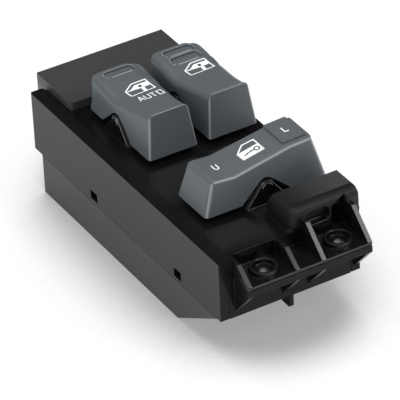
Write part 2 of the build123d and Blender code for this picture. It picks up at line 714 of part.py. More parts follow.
# Window rockers: dished tops with a raised nose at the front
def window_rocker(centre_x, groove_count, label):
    """One window rocker, with one or two finger grooves across its rear end, then moved into place."""
    half_width = WINDOW_WIDTH / 2
    with BuildPart() as rocker:
        with BuildSketch(Plane.YZ) as side_view:
            with BuildLine():
                Polyline(
                    (WINDOW_FRONT, SKIRT_BOTTOM),
                    (WINDOW_FRONT + NOSE_LEAN, NOSE_TOP),
                    (WINDOW_FRONT + NOSE_LEAN + NOSE_THICK, NOSE_REAR_TOP),
                    (DISH_Y, DISH_TOP),
                    (TAIL_Y, TAIL_TOP),
                    (WINDOW_REAR - REAR_LEAN, REAR_TOP),
                    (WINDOW_REAR, SKIRT_BOTTOM),
                    close=True,
                )
            make_face()
            corners = side_view.vertices().sort_by(Axis.X)
            fillet(corners[2:3], NOSE_ROOT_ROUND)
            fillet(corners[3:4], DISH_ROUND)
            fillet(corners[4:5], DISH_ROUND)
        extrude(amount=half_width, both=True)
        with BuildSketch(Plane.XZ.offset(-WINDOW_REAR - 1)):
            with BuildLine():
                Polyline(
                    (-half_width, SKIRT_BOTTOM),
                    (half_width, SKIRT_BOTTOM),
                    (half_width - SIDE_LEAN * LEAN_HEIGHT, SKIRT_BOTTOM + LEAN_HEIGHT),
                    (-half_width + SIDE_LEAN * LEAN_HEIGHT, SKIRT_BOTTOM + LEAN_HEIGHT),
                    close=True,
                )
            make_face()
        extrude(amount=WINDOW_REAR - WINDOW_FRONT + 2, mode=Mode.INTERSECT)
        fillet(long_top_edges(rocker, False, 0, half_width, CAVITY_TOP), TOP_SIDE_ROUND)
        front_lean = NOSE_LEAN / (NOSE_TOP - SKIRT_BOTTOM)
        rear_lean = REAR_LEAN / (REAR_TOP - SKIRT_BOTTOM)
        for side in (-1, 1):
            side_x = side * half_width
            add(corner_cutter(side_x, WINDOW_REAR, side, 1, REAR_CORNER_ROUND, SIDE_LEAN, rear_lean),
                mode=Mode.SUBTRACT)
            add(corner_cutter(side_x, WINDOW_FRONT, side, -1, CORNER_ROUND, SIDE_LEAN, front_lean),
                mode=Mode.SUBTRACT)
        nose_edges = []
        rear_edges = []
        for edge in rocker.edges():
            ends = (edge.position_at(0), edge.position_at(0.5), edge.position_at(1))
            width = abs(ends[0].X - ends[2].X)
            low = min(point.Z for point in ends)
            high = max(point.Z for point in ends)
            if ends[1].Y < WINDOW_FRONT + 2.4 and low > NOSE_TOP - 2.2 and width > 0.8:
                nose_edges.append(edge)
            if ends[1].Y > WINDOW_REAR - 4.2 and low > REAR_TOP - 2.2 and high < REAR_TOP + 0.5 and width > 1:
                if abs(ends[1].X) < half_width - 0.6:
                    rear_edges.append(edge)
        fillet(rear_edges, REAR_TOP_EDGE)
        fillet(nose_edges, NOSE_EDGE)
        with BuildSketch(Plane.XY.offset(SKIRT_BOTTOM)):
            with Locations((0, (WINDOW_FRONT + WINDOW_REAR) / 2)):
                Rectangle(WINDOW_WIDTH - 2 * ROCKER_WALL, WINDOW_REAR - WINDOW_FRONT - 2 * ROCKER_WALL)
        extrude(amount=CAVITY_TOP - SKIRT_BOTTOM, taper=CAVITY_TAPER, mode=Mode.SUBTRACT)
        notches, fittings, bores = pivot_fittings(0, WINDOW_PIVOT_Y, True, half_width)
        add(notches, mode=Mode.SUBTRACT)
        add(fittings)
        add(bores, mode=Mode.SUBTRACT)
        for number in range(groove_count):
            with BuildSketch(Plane.XY.offset(GROOVE_FLOOR)):
                with Locations((GROOVE_OFFSET, GROOVE_FIRST_Y - number * GROOVE_PITCH)):
                    RectangleRounded(GROOVE_LENGTH, GROOVE_WIDTH, GROOVE_CORNER)
            extrude(amount=TAIL_TOP - GROOVE_FLOOR + 1, mode=Mode.SUBTRACT)
    save(Pos(centre_x, 0, 0) * rocker.part, label)


window_rocker(WINDOW_CENTRES[0], 1, "driver_window_rocker")
window_rocker(WINDOW_CENTRES[1], 2, "passenger_window_rocker")

# Door lock rocker: crosswise, higher at its right end, with a raised pad there
with BuildPart() as door_lock_rocker:
    with BuildSketch(Plane.XZ.offset(-LOCK_CENTRE_Y)) as front_view:
        with BuildLine():
            Polyline(
                (LOCK_LEFT, SKIRT_BOTTOM),
                (LOCK_LEFT + LOCK_LEFT_LEAN, LOCK_LEFT_TOP),
                (LOCK_LEFT + LOCK_DIP, LOCK_DIP_TOP),
                (LOCK_CREST_X, LOCK_CREST_TOP),
                (LOCK_RIGHT - LOCK_RIGHT_LEAN, LOCK_RIGHT_TOP),
                (LOCK_RIGHT, SKIRT_BOTTOM),
                close=True,
            )
        make_face()
        ends = front_view.vertices().sort_by(Axis.X)
        fillet(ends[1:2], LOCK_LEFT_ROUND)
        fillet(ends[2:3], DISH_ROUND)
        fillet(ends[3:4], DISH_ROUND)
        fillet(ends[4:5], LOCK_RIGHT_ROUND)
    extrude(amount=LOCK_HALF_WIDTH, both=True)
    with BuildSketch(Plane.YZ.offset(LOCK_LEFT - 1)):
        with BuildLine():
            Polyline(
                (LOCK_FRONT, SKIRT_BOTTOM),
                (LOCK_REAR, SKIRT_BOTTOM),
                (LOCK_REAR - SIDE_LEAN * LEAN_HEIGHT, SKIRT_BOTTOM + LEAN_HEIGHT),
                (LOCK_FRONT + SIDE_LEAN * LEAN_HEIGHT, SKIRT_BOTTOM + LEAN_HEIGHT),
                close=True,
            )
        make_face()
    extrude(amount=LOCK_RIGHT - LOCK_LEFT + 2, mode=Mode.INTERSECT)
    fillet(long_top_edges(door_lock_rocker, True, LOCK_CENTRE_Y, LOCK_HALF_WIDTH, SKIRT_BOTTOM + 5),
           LOCK_LONG_EDGE)
    left_lean = LOCK_LEFT_LEAN / (LOCK_LEFT_TOP - SKIRT_BOTTOM)
    right_lean = LOCK_RIGHT_LEAN / (LOCK_RIGHT_TOP - SKIRT_BOTTOM)
    for side_y, side in ((LOCK_REAR, 1), (LOCK_FRONT, -1)):
        add(corner_cutter(LOCK_LEFT, side_y, -1, side, LOCK_CORNER_ROUND, left_lean, SIDE_LEAN),
            mode=Mode.SUBTRACT)
        add(corner_cutter(LOCK_RIGHT, side_y, 1, side, LOCK_CORNER_ROUND, right_lean, SIDE_LEAN),
            mode=Mode.SUBTRACT)
    # The raised pad follows the sloping top
    crest_slope = (LOCK_RIGHT_TOP - LOCK_CREST_TOP) / (LOCK_RIGHT - LOCK_RIGHT_LEAN - LOCK_CREST_X)
    with BuildSketch(Plane.XZ.offset(-PAD_FRONT)) as pad_view:
        with BuildLine():
            Polyline(
                (PAD_LEFT, LOCK_CREST_TOP - 1.5),
                (PAD_RIGHT + 1.6, LOCK_CREST_TOP - 1.5),
                (PAD_RIGHT, LOCK_CREST_TOP + PAD_RISE + crest_slope * (PAD_RIGHT - LOCK_CREST_X)),
                (PAD_LEFT, LOCK_CREST_TOP + PAD_RISE + crest_slope * (PAD_LEFT - LOCK_CREST_X)),
                close=True,
            )
        make_face()
    extrude(amount=-(PAD_REAR - PAD_FRONT))
    with BuildSketch(Plane.XY.offset(SKIRT_BOTTOM)):
        with Locations(((LOCK_LEFT + LOCK_RIGHT) / 2, LOCK_CENTRE_Y)):
            Rectangle(LOCK_RIGHT - LOCK_LEFT - 2 * ROCKER_WALL, 2 * (LOCK_HALF_WIDTH - ROCKER_WALL))
    extrude(amount=CAVITY_TOP - SKIRT_BOTTOM, taper=LOCK_CAVITY_TAPER, mode=Mode.SUBTRACT)
    notches, fittings, bores = pivot_fittings(LOCK_PIVOT_X, LOCK_CENTRE_Y, False, LOCK_HALF_WIDTH)
    add(notches, mode=Mode.SUBTRACT)
    add(fittings)
    add(bores, mode=Mode.SUBTRACT)
save(door_lock_rocker.part, "door_lock_rocker")

# Plungers, springs and see-saw contacts: one set for each rocker
for name, centre_x, centre_y, turn in SWITCHES:
    with BuildPart() as plunger:
        with BuildSketch(Plane.XZ) as outline:
            with BuildLine():
                Polyline(
                    (0, PLUNGER_TIP_Z),
                    (PLUNGER_TIP_RADIUS * 0.7071, PLUNGER_TIP_Z + PLUNGER_TIP_RADIUS * 0.2929),
                    (PLUNGER_TIP_RADIUS, PLUNGER_TIP_Z + PLUNGER_TIP_RADIUS),
                    (PLUNGER_TIP_RADIUS, PLUNGER_SHOULDER - 1),
                    (PLUNGER_RADIUS, PLUNGER_SHOULDER),
                    (PLUNGER_RADIUS, PLUNGER_TOP),
                    (PLUNGER_BORE, PLUNGER_TOP),
                    (PLUNGER_BORE, PLUNGER_BORE_BOTTOM),
                    (0, PLUNGER_BORE_BOTTOM),
                    close=True,
                )
            make_face()
        revolve(axis=Axis.Z)
    save(Pos(centre_x, centre_y, 0) * plunger.part, name + "_plunger")

    spring_low = PLUNGER_BORE_BOTTOM + SPRING_WIRE + 0.02
    spring_high = TUBE_ROOF - SPRING_WIRE - 0.02
    with BuildPart() as spring:
        with BuildLine() as coil:
            Helix((spring_high - spring_low) / SPRING_TURNS, spring_high - spring_low, SPRING_RADIUS)
        with BuildSketch(coil.line ^ 0):
            RegularPolygon(SPRING_WIRE, 6)
        sweep(is_frenet=True)
    save(Pos(centre_x, centre_y, spring_low) * spring.part, name + "_spring")

    with BuildPart() as blade:
        with BuildSketch(Plane.XZ):
            with BuildLine():
                Polyline(
                    (-BLADE_HALF_LENGTH, BLADE_LOW + BLADE_RISE),
                    (0, BLADE_LOW),
                    (BLADE_HALF_LENGTH, BLADE_LOW + BLADE_RISE),
                    (BLADE_HALF_LENGTH, BLADE_LOW + BLADE_RISE + BLADE_THICK),
                    (0, BLADE_LOW + BLADE_THICK),
                    (-BLADE_HALF_LENGTH, BLADE_LOW + BLADE_RISE + BLADE_THICK),
                    close=True,
                )
            make_face()
        extrude(amount=BLADE_WIDTH / 2, both=True)
    save(Pos(centre_x, centre_y, 0) * Rot(0, 0, turn) * blade.part, name + "_contact_blade")

    with BuildPart() as fulcrum:
        with BuildSketch(Plane.XZ):
            with Locations((0, FULCRUM_AXIS_Z)):
                Circle(FULCRUM_RADIUS)
            with Locations((0, (FULCRUM_AXIS_Z + BOARD_TOP) / 2)):
                Rectangle(2 * FULCRUM_RADIUS, FULCRUM_AXIS_Z - BOARD_TOP)
            with Locations((0, BOARD_TOP + FULCRUM_RADIUS / 2)):
                Rectangle(2 * FULCRUM_FOOT, FULCRUM_RADIUS)
        extrude(amount=FULCRUM_WIDTH / 2, both=True)
    save(Pos(centre_x, centre_y, 0) * Rot(0, 0, turn) * fulcrum.part, name + "_fulcrum")

    for end, side in (("down", -1), ("up", 1)):
        with BuildPart() as contact:
            with BuildSketch(Plane.XY.offset(BOARD_TOP)):
                Circle(CONTACT_RADIUS)
            extrude(amount=CONTACT_TOP - BOARD_TOP)
            chamfer(contact.edges().group_by(Axis.Z)[-1], CONTACT_EDGE)
        spot = Pos(centre_x, centre_y, 0) * Rot(0, 0, turn) * Pos(side * CONTACT_REACH, 0, 0)
        save(spot * contact.part, name + "_" + end + "_contact")

# Circuit board with square holes for the terminals
with BuildPart() as circuit_board:
    with BuildSketch(Plane.XY.offset(BOARD_LOW)):
        with Locations((0, (BOARD_FRONT + BOARD_REAR) / 2)):
            Rectangle(2 * BOARD_HALF_WIDTH, BOARD_REAR - BOARD_FRONT)
        with Locations((0, SOCKET_Y)):
            with GridLocations(PIN_PITCH, PIN_ROW_PITCH, PIN_COLUMNS, 2):
                Rectangle(PIN_SIDE, PIN_SIDE, mode=Mode.SUBTRACT)
    extrude(amount=BOARD_THICK)
save(circuit_board.part, "circuit_board")

# Window relay, standing between the lock rocker and the window rockers
with BuildPart() as window_relay:
    with Locations((*RELAY_PLACE, BOARD_TOP + RELAY_SIZE[2] / 2)):
        Box(*RELAY_SIZE)
    chamfer(window_relay.edges().filter_by(Axis.Z), 0.4)
save(window_relay.part, "window_relay")

# Control chip with a flat body
with BuildPart() as control_chip:
    with Locations((*CHIP_PLACE, BOARD_TOP + CHIP_SIZE[2] / 2)):
        Box(*CHIP_SIZE)
    chamfer(control_chip.edges().group_by(Axis.Z)[-1], 0.25)
save(control_chip.part, "control_chip")

# Smoothing capacitor, an upright can
with BuildPart() as smoothing_capacitor:
    with BuildSketch(Plane.XY.offset(BOARD_TOP)):
        with Locations(CAPACITOR_PLACE):
            Circle(CAPACITOR_RADIUS)
    extrude(amount=CAPACITOR_HEIGHT)
    chamfer(smoothing_capacitor.edges().group_by(Axis.Z)[-1], 0.5)
save(smoothing_capacitor.part, "smoothing_capacitor")

# Socket terminals: square wire from the board down into the socket
number = 0
for row in (-1, 1):
    for column in range(PIN_COLUMNS):
        number = number + 1
        pin_x = (column - (PIN_COLUMNS - 1) / 2) * PIN_PITCH
        pin_y = SOCKET_Y + row * PIN_ROW_PITCH / 2
        with BuildPart() as socket_pin:
            with Locations((pin_x, pin_y, (PIN_LOW + BOARD_TOP + PIN_ABOVE_BOARD) / 2)):
                Box(PIN_SIDE, PIN_SIDE, BOARD_TOP + PIN_ABOVE_BOARD - PIN_LOW)
            chamfer(socket_pin.edges().group_by(Axis.Z)[0], PIN_CHAMFER)
        save(socket_pin.part, "socket_pin_" + str(number))

# Shelf screws with domed heads
dome_radius = (SCREW_HEAD_RADIUS ** 2 + SCREW_HEAD_RISE ** 2) / (2 * SCREW_HEAD_RISE)
dome_middle = asin(SCREW_HEAD_RADIUS / dome_radius) / 2
for number, label in enumerate(("left_shelf_screw", "right_shelf_screw")):
    with BuildPart() as screw:
        with BuildSketch(Plane.XZ):
            with BuildLine():
                Line((0, SCREW_TIP), (SCREW_RADIUS / 2, SCREW_TIP))
                Line((SCREW_RADIUS / 2, SCREW_TIP), (SCREW_RADIUS, SCREW_TIP + SCREW_POINT))
                Line((SCREW_RADIUS, SCREW_TIP + SCREW_POINT), (SCREW_RADIUS, SCREW_HEAD_LOW))
                Line((SCREW_RADIUS, SCREW_HEAD_LOW), (SCREW_HEAD_RADIUS, SCREW_HEAD_LOW))
                ThreePointArc(
                    (SCREW_HEAD_RADIUS, SCREW_HEAD_LOW),
                    (dome_radius * sin(dome_middle),
                     SCREW_HEAD_LOW + SCREW_HEAD_RISE - dome_radius * (1 - cos(dome_middle))),
                    (0, SCREW_HEAD_LOW + SCREW_HEAD_RISE),
                )
                Line((0, SCREW_HEAD_LOW + SCREW_HEAD_RISE), (0, SCREW_TIP))
            make_face()
        revolve(axis=Axis.Z)
    save(Pos(RING_X[number], RING_Y[number], 0) * screw.part, label)
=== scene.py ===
"""Dresses the door switch panel: moulded plastics, printed marks, stage, light and camera."""
import json
import math

import bmesh
import bpy
import numpy as np
from bpy.props import FloatProperty, FloatVectorProperty, PointerProperty
from bpy.types import Operator, Panel, PropertyGroup
from mathutils import Matrix, Vector


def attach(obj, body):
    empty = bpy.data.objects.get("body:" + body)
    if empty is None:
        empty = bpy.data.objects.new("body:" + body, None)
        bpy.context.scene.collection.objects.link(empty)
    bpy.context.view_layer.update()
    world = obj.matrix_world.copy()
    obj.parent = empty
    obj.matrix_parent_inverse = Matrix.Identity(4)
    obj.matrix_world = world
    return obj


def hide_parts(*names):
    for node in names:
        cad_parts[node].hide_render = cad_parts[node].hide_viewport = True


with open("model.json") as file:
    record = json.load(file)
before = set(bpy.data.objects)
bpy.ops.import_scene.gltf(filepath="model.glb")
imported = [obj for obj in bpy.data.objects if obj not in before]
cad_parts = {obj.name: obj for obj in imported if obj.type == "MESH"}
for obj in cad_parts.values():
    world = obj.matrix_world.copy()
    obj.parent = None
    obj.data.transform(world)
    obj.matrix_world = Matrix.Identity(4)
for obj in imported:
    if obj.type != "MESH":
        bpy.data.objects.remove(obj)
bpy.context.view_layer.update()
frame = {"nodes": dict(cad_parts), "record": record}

bl_info = {
    "name": "Door Switch Panel Dresser",
    "version": (1, 0, 0),
    "blender": (4, 5, 0),
    "location": "3D View > Sidebar > Switch Panel",
    "description": "Dresses the loaded switch panel with plastics, marks and a studio",
    "category": "Object",
}

MM = 0.001

# Faces that meet at less than the flat angle become one, and edges over the sharp angle are rounded
FLAT_ANGLE = math.radians(0.6)
SHARP_ANGLE = math.radians(32)

# Distances in metres under which two points are one, when a mesh is merged and when it is cut
MERGE_DISTANCE = 1e-6
CUT_DISTANCE = 1e-7

# The cover's rounding as a share of the case's
COVER_EDGE = 0.7

# Levels in millimetres, along Y and along Z, at which a rocker's faces are cut before its shape changes
CUT_LEVELS = ((1, range(4, 32)), (2, range(33, 42)))

# Moulded plastic: size of its clouds, how far its roughness varies, and how strongly the grain shows
CLOUD_SCALE = 90.0
CLOUD_ROUGHNESS = (0.82, 1.18)
GRAIN_STRENGTH = 0.35

# Stamped metal: how its streaks are stretched, the dark end of its colour, and how far its roughness varies
STREAK_STRETCH = (0.15, 1.0, 1.0)
STREAK_DARK = 0.8
STREAK_ROUGHNESS = (0.7, 1.3)

# Directions that painted edge highlights face, with x and y taken without their signs
CASE_HIGHLIGHT_DIRECTIONS = ((0.7, 0.7, 0.1), (0, 0.7, 0.7), (0.7, 0, 0.7))
TOWER_HIGHLIGHT_DIRECTIONS = ((0.54, 0.7, 0.45), (0.7, 0.54, 0.45))
ROCKER_HIGHLIGHT_DIRECTIONS = ((0.7, 0.7, 0.14), (0, 0.8, 0.6))

# Areas of the top cover: two corners in metres and the width of the fade along X
# The deck behind the ribs and the two tower areas bound painted edge highlights
DECK_BEHIND_RIBS = ((-0.03, -0.0495, 0.0), (0.03, 0.06, 0.05), 0.0001)
SHELF_RIBS = ((-0.03, -0.0577, 0.0256), (0.03, -0.0495, 0.0332), 0.0001)
WINDOW_TOWER_SIDE = ((-0.0136, 0.010, 0.0303), (-0.0108, 0.025, 0.0372), 0.0001)
LOCK_TOWER_FRONT = ((-0.003, -0.0345, 0.0303), (0.012, -0.0312, 0.0372), 0.0001)
FRONT_STEP = ((0.0, -0.048, 0.0303), (0.03, -0.0335, 0.0372), 0.0004)
# The step top's long fade along X paints shade on it, darker towards the left
STEP_TOP = ((0.002, -0.0437, 0.0344), (0.03, -0.034, 0.037), 0.02)
REAR_BLOCK = ((-0.03, 0.0345, 0.0302), (0.03, 0.06, 0.034), 0.001)


class SwitchPanelSizes(PropertyGroup):
    """Sizes that a user may change, in metres."""

    moulding_edge: FloatProperty(
        name="Moulding edge", description="Rounding of the case's and cover's edges",
        default=0.00022, min=0.0, soft_max=0.001, subtype="DISTANCE", unit="LENGTH")
    rocker_edge: FloatProperty(
        name="Rocker edge", description="Rounding of the rockers' edges",
        default=0.00025, min=0.0, soft_max=0.002, subtype="DISTANCE", unit="LENGTH")
    stroke: FloatProperty(
        name="Stroke", description="Width of the printed lines",
        default=0.00034, min=0.0001, soft_max=0.001, subtype="DISTANCE", unit="LENGTH")
    print_lift: FloatProperty(
        name="Print lift", description="Height of the printed marks over the plastic",
        default=0.00004, min=0.00001, soft_max=0.0002, subtype="DISTANCE", unit="LENGTH")
    print_thickness: FloatProperty(
        name="Print thickness", description="Depth of the printed film, which reaches into the plastic",
        default=0.00008, min=0.00001, soft_max=0.0003, subtype="DISTANCE", unit="LENGTH")


class SwitchPanelFinishes(PropertyGroup):
    """Colours and finishes that a user may change."""

    case_colour: FloatVectorProperty(
        name="Case colour", description="Base colour of the case and tray",
        default=(0.007, 0.007, 0.0073), size=3, min=0.0, max=1.0, subtype="COLOR")
    cover_colour: FloatVectorProperty(
        name="Cover colour", description="Base colour of the top cover",
        default=(0.0048, 0.0048, 0.0048), size=3, min=0.0, max=1.0, subtype="COLOR")
    grained_colour: FloatVectorProperty(
        name="Grained colour", description="Base colour of the cover's grained rear block and step top",
        default=(0.042, 0.042, 0.043), size=3, min=0.0, max=1.0, subtype="COLOR")
    step_colour: FloatVectorProperty(
        name="Step colour", description="Base colour of the sides of the cover's front step",
        default=(0.004, 0.004, 0.004), size=3, min=0.0, max=1.0, subtype="COLOR")
    rocker_colour: FloatVectorProperty(
        name="Rocker colour", description="Base colour of the three rockers",
        default=(0.088, 0.1, 0.11), size=3, min=0.0, max=1.0, subtype="COLOR")
    # Painted highlight colour: it lightens the rockers' edges, the cover's pivot towers and the rims of the
    # finger recesses
    bright_highlight_colour: FloatVectorProperty(
        name="Rocker edge colour", description="Colour of the rockers' rubbed edges",
        default=(0.24, 0.26, 0.28), size=3, min=0.0, max=1.0, subtype="COLOR")
    # Painted highlight colour for the edges of the case and the cover
    edge_highlight_colour: FloatVectorProperty(
        name="Edge colour", description="Colour of the case's and cover's rubbed edges",
        default=(0.032, 0.032, 0.032), size=3, min=0.0, max=1.0, subtype="COLOR")
    print_colour: FloatVectorProperty(
        name="Print colour", description="Colour of the printed marks",
        default=(0.85, 0.87, 0.87), size=3, min=0.0, max=1.0, subtype="COLOR")
    key_power: FloatProperty(
        name="Key light", description="Power of the softbox in front", default=3.5, min=0.0, unit="POWER")
    top_power: FloatProperty(
        name="Top light", description="Power of the softbox overhead", default=4.0, min=0.0, unit="POWER")
    air_light: FloatProperty(
        name="Air light", description="Strength of the surrounding light on matt surfaces",
        default=0.8, min=0.0)
    air_mirror: FloatProperty(
        name="Air mirror", description="Strength of the surroundings in glossy reflections",
        default=0.015, min=0.0)


def sizes():
    """The sizes kept on the scene."""
    return bpy.context.scene.switch_panel_sizes


def finishes():
    """The finishes kept on the scene."""
    return bpy.context.scene.switch_panel_finishes


def moulded_plastic(name, colour, roughness, grain, grain_depth, mottle, gloss=0.5):
    """Moulded plastic: a noise varies its colour and roughness, and a fine one raises its grain.

    Both noises are on Object coordinates. The grain is the fine noise's scale, its depth is in metres, the
    mottle is the share by which the colour varies, and the gloss is the specular level.
    """
    material = bpy.data.materials.new(name)
    material.use_nodes = True
    nodes = material.node_tree.nodes
    links = material.node_tree.links
    shader = nodes["Principled BSDF"]
    place = nodes.new("ShaderNodeTexCoord")
    cloud = nodes.new("ShaderNodeTexNoise")
    cloud.inputs["Scale"].default_value = CLOUD_SCALE
    cloud.inputs["Detail"].default_value = 4.0
    links.new(place.outputs["Object"], cloud.inputs["Vector"])
    tint = nodes.new("ShaderNodeMix")
    tint.data_type = "RGBA"
    tint.inputs["A"].default_value = (*[c * (1 - mottle) for c in colour], 1)
    tint.inputs["B"].default_value = (*[c * (1 + mottle) for c in colour], 1)
    links.new(cloud.outputs["Fac"], tint.inputs["Factor"])
    links.new(tint.outputs["Result"], shader.inputs["Base Color"])
    worn = nodes.new("ShaderNodeMapRange")
    worn.inputs["To Min"].default_value = roughness * CLOUD_ROUGHNESS[0]
    worn.inputs["To Max"].default_value = roughness * CLOUD_ROUGHNESS[1]
    links.new(cloud.outputs["Fac"], worn.inputs["Value"])
    links.new(worn.outputs["Result"], shader.inputs["Roughness"])
    speckle = nodes.new("ShaderNodeTexNoise")
    speckle.inputs["Scale"].default_value = grain
    speckle.inputs["Detail"].default_value = 3.0
    links.new(place.outputs["Object"], speckle.inputs["Vector"])
    bump = nodes.new("ShaderNodeBump")
    bump.inputs["Strength"].default_value = GRAIN_STRENGTH
    bump.inputs["Distance"].default_value = grain_depth
    links.new(speckle.outputs["Fac"], bump.inputs["Height"])
    links.new(bump.outputs["Normal"], shader.inputs["Normal"])
    shader.inputs["Specular IOR Level"].default_value = gloss
    return material


def box_mask(material, areas):
    """A socket that is 1 inside boxes on Object coordinates and 0 outside them.

    An area is two corners in metres and a fade, the width of the ramp along X over which the mask comes in.
    The tests of a box are multiplied, and the greatest product counts.
    """
    nodes = material.node_tree.nodes
    links = material.node_tree.links
    place = nodes.new("ShaderNodeTexCoord")
    split = nodes.new("ShaderNodeSeparateXYZ")
    links.new(place.outputs["Object"], split.inputs["Vector"])
    total = None
    for low, high, fade in areas:
        ramp = nodes.new("ShaderNodeMapRange")
        ramp.interpolation_type = "SMOOTHSTEP"
        ramp.inputs["From Min"].default_value = low[0]
        ramp.inputs["From Max"].default_value = low[0] + fade
        links.new(split.outputs[0], ramp.inputs["Value"])
        mask = ramp.outputs["Result"]
        for axis in range(3):
            for limit, operation in ((low[axis], "GREATER_THAN"), (high[axis], "LESS_THAN")):
                test = nodes.new("ShaderNodeMath")
                test.operation = operation
                test.inputs[1].default_value = limit
                links.new(split.outputs[axis], test.inputs[0])
                both = nodes.new("ShaderNodeMath")
                both.operation = "MULTIPLY"
                links.new(mask, both.inputs[0])
                links.new(test.outputs["Value"], both.inputs[1])
                mask = both.outputs["Value"]
        if total is None:
            total = mask
            continue
        joined = nodes.new("ShaderNodeMath")
        joined.operation = "MAXIMUM"
        links.new(total, joined.inputs[0])
        links.new(mask, joined.inputs[1])
        total = joined.outputs["Value"]
    return total


def painted_edge_highlights(material, colour, directions, start, full, areas=None):
    """Painted edge highlights: the base colour changes to a lighter one where the surface faces one of the
    given directions.

    The normal's x and y are taken without their signs, so that opposite edges are treated alike. The share
    is the smooth step, from start to full, of the greatest dot product. Areas keep it inside boxes.
    """
    nodes = material.node_tree.nodes
    links = material.node_tree.links
    shader = nodes["Principled BSDF"]
    shape = nodes.new("ShaderNodeNewGeometry")
    split = nodes.new("ShaderNodeSeparateXYZ")
    links.new(shape.outputs["Normal"], split.inputs["Vector"])
    joined = nodes.new("ShaderNodeCombineXYZ")
    for axis in range(2):
        plain = nodes.new("ShaderNodeMath")
        plain.operation = "ABSOLUTE"
        links.new(split.outputs[axis], plain.inputs[0])
        links.new(plain.outputs["Value"], joined.inputs[axis])
    links.new(split.outputs[2], joined.inputs[2])
    total = None
    for direction in directions:
        facing = nodes.new("ShaderNodeVectorMath")
        facing.operation = "DOT_PRODUCT"
        facing.inputs[1].default_value = Vector(direction).normalized()
        links.new(joined.outputs["Vector"], facing.inputs[0])
        if total is None:
            total = facing.outputs["Value"]
            continue
        greater = nodes.new("ShaderNodeMath")
        greater.operation = "MAXIMUM"
        links.new(total, greater.inputs[0])
        links.new(facing.outputs["Value"], greater.inputs[1])
        total = greater.outputs["Value"]
    share = nodes.new("ShaderNodeMapRange")
    share.interpolation_type = "SMOOTHSTEP"
    share.inputs["From Min"].default_value = start
    share.inputs["From Max"].default_value = full
    links.new(total, share.inputs["Value"])
    amount = share.outputs["Result"]
    if areas is not None:
        kept = nodes.new("ShaderNodeMath")
        kept.operation = "MULTIPLY"
        links.new(amount, kept.inputs[0])
        links.new(box_mask(material, areas), kept.inputs[1])
        amount = kept.outputs["Value"]
    mix = nodes.new("ShaderNodeMix")
    mix.data_type = "RGBA"
    plain_colour = shader.inputs["Base Color"].links[0].from_socket
    links.new(amount, mix.inputs["Factor"])
    links.new(plain_colour, mix.inputs["A"])
    mix.inputs["B"].default_value = (*colour, 1)
    links.new(mix.outputs["Result"], shader.inputs["Base Color"])
    return material


def grained_areas(material, colour, roughness, areas):
    """Grained plastic inside boxes on Object coordinates: there the colour and the roughness change."""
    nodes = material.node_tree.nodes
    links = material.node_tree.links
    shader = nodes["Principled BSDF"]
    total = box_mask(material, areas)
    for socket, value in (("Base Color", (*colour, 1)), ("Roughness", roughness)):
        plain = shader.inputs[socket].links[0].from_socket
        mix = nodes.new("ShaderNodeMix")
        mix.data_type = "RGBA" if socket == "Base Color" else "FLOAT"
        links.new(total, mix.inputs["Factor"])
        links.new(plain, mix.inputs["A"])
        mix.inputs["B"].default_value = value
        links.new(mix.outputs["Result"], shader.inputs[socket])
    return material


def stamped_metal(name, colour, roughness, scratch):
    """Stamped or drawn metal: a noise stretched along X varies the colour and the roughness."""
    material = bpy.data.materials.new(name)
    material.use_nodes = True
    nodes = material.node_tree.nodes
    links = material.node_tree.links
    shader = nodes["Principled BSDF"]
    shader.inputs["Metallic"].default_value = 1.0
    place = nodes.new("ShaderNodeTexCoord")
    stretch = nodes.new("ShaderNodeMapping")
    stretch.inputs["Scale"].default_value = STREAK_STRETCH
    links.new(place.outputs["Object"], stretch.inputs["Vector"])
    streak = nodes.new("ShaderNodeTexNoise")
    streak.inputs["Scale"].default_value = scratch
    links.new(stretch.outputs["Vector"], streak.inputs["Vector"])
    tint = nodes.new("ShaderNodeMix")
    tint.data_type = "RGBA"
    tint.inputs["A"].default_value = (*[c * STREAK_DARK for c in colour], 1)
    tint.inputs["B"].default_value = (*colour, 1)
    links.new(streak.outputs["Fac"], tint.inputs["Factor"])
    links.new(tint.outputs["Result"], shader.inputs["Base Color"])
    rub = nodes.new("ShaderNodeMapRange")
    rub.inputs["To Min"].default_value = roughness * STREAK_ROUGHNESS[0]
    rub.inputs["To Max"].default_value = roughness * STREAK_ROUGHNESS[1]
    links.new(streak.outputs["Fac"], rub.inputs["Value"])
    links.new(rub.outputs["Result"], shader.inputs["Roughness"])
    return material


def dress(obj, material):
    """Gives an object one material on every face."""
    obj.data.materials.clear()
    obj.data.materials.append(material)


def slot_of(node):
    """The record's material slot of a CAD node."""
    for entry in frame["record"]["subparts"]:
        if entry["node"] == node:
            return entry["material_slot"]
    raise RuntimeError("no slot for " + node)


def cut_in_slices(work):
    """Cuts a rocker's faces at every level, so that they can bend."""
    for axis, levels in CUT_LEVELS:
        for level in levels:
            place = Vector((0, 0, 0))
            place[axis] = level * MM
            normal = Vector((0, 0, 0))
            normal[axis] = 1
            bmesh.ops.bisect_plane(
                work, geom=[*work.verts, *work.edges, *work.faces], plane_co=place, plane_no=normal,
                dist=CUT_DISTANCE)


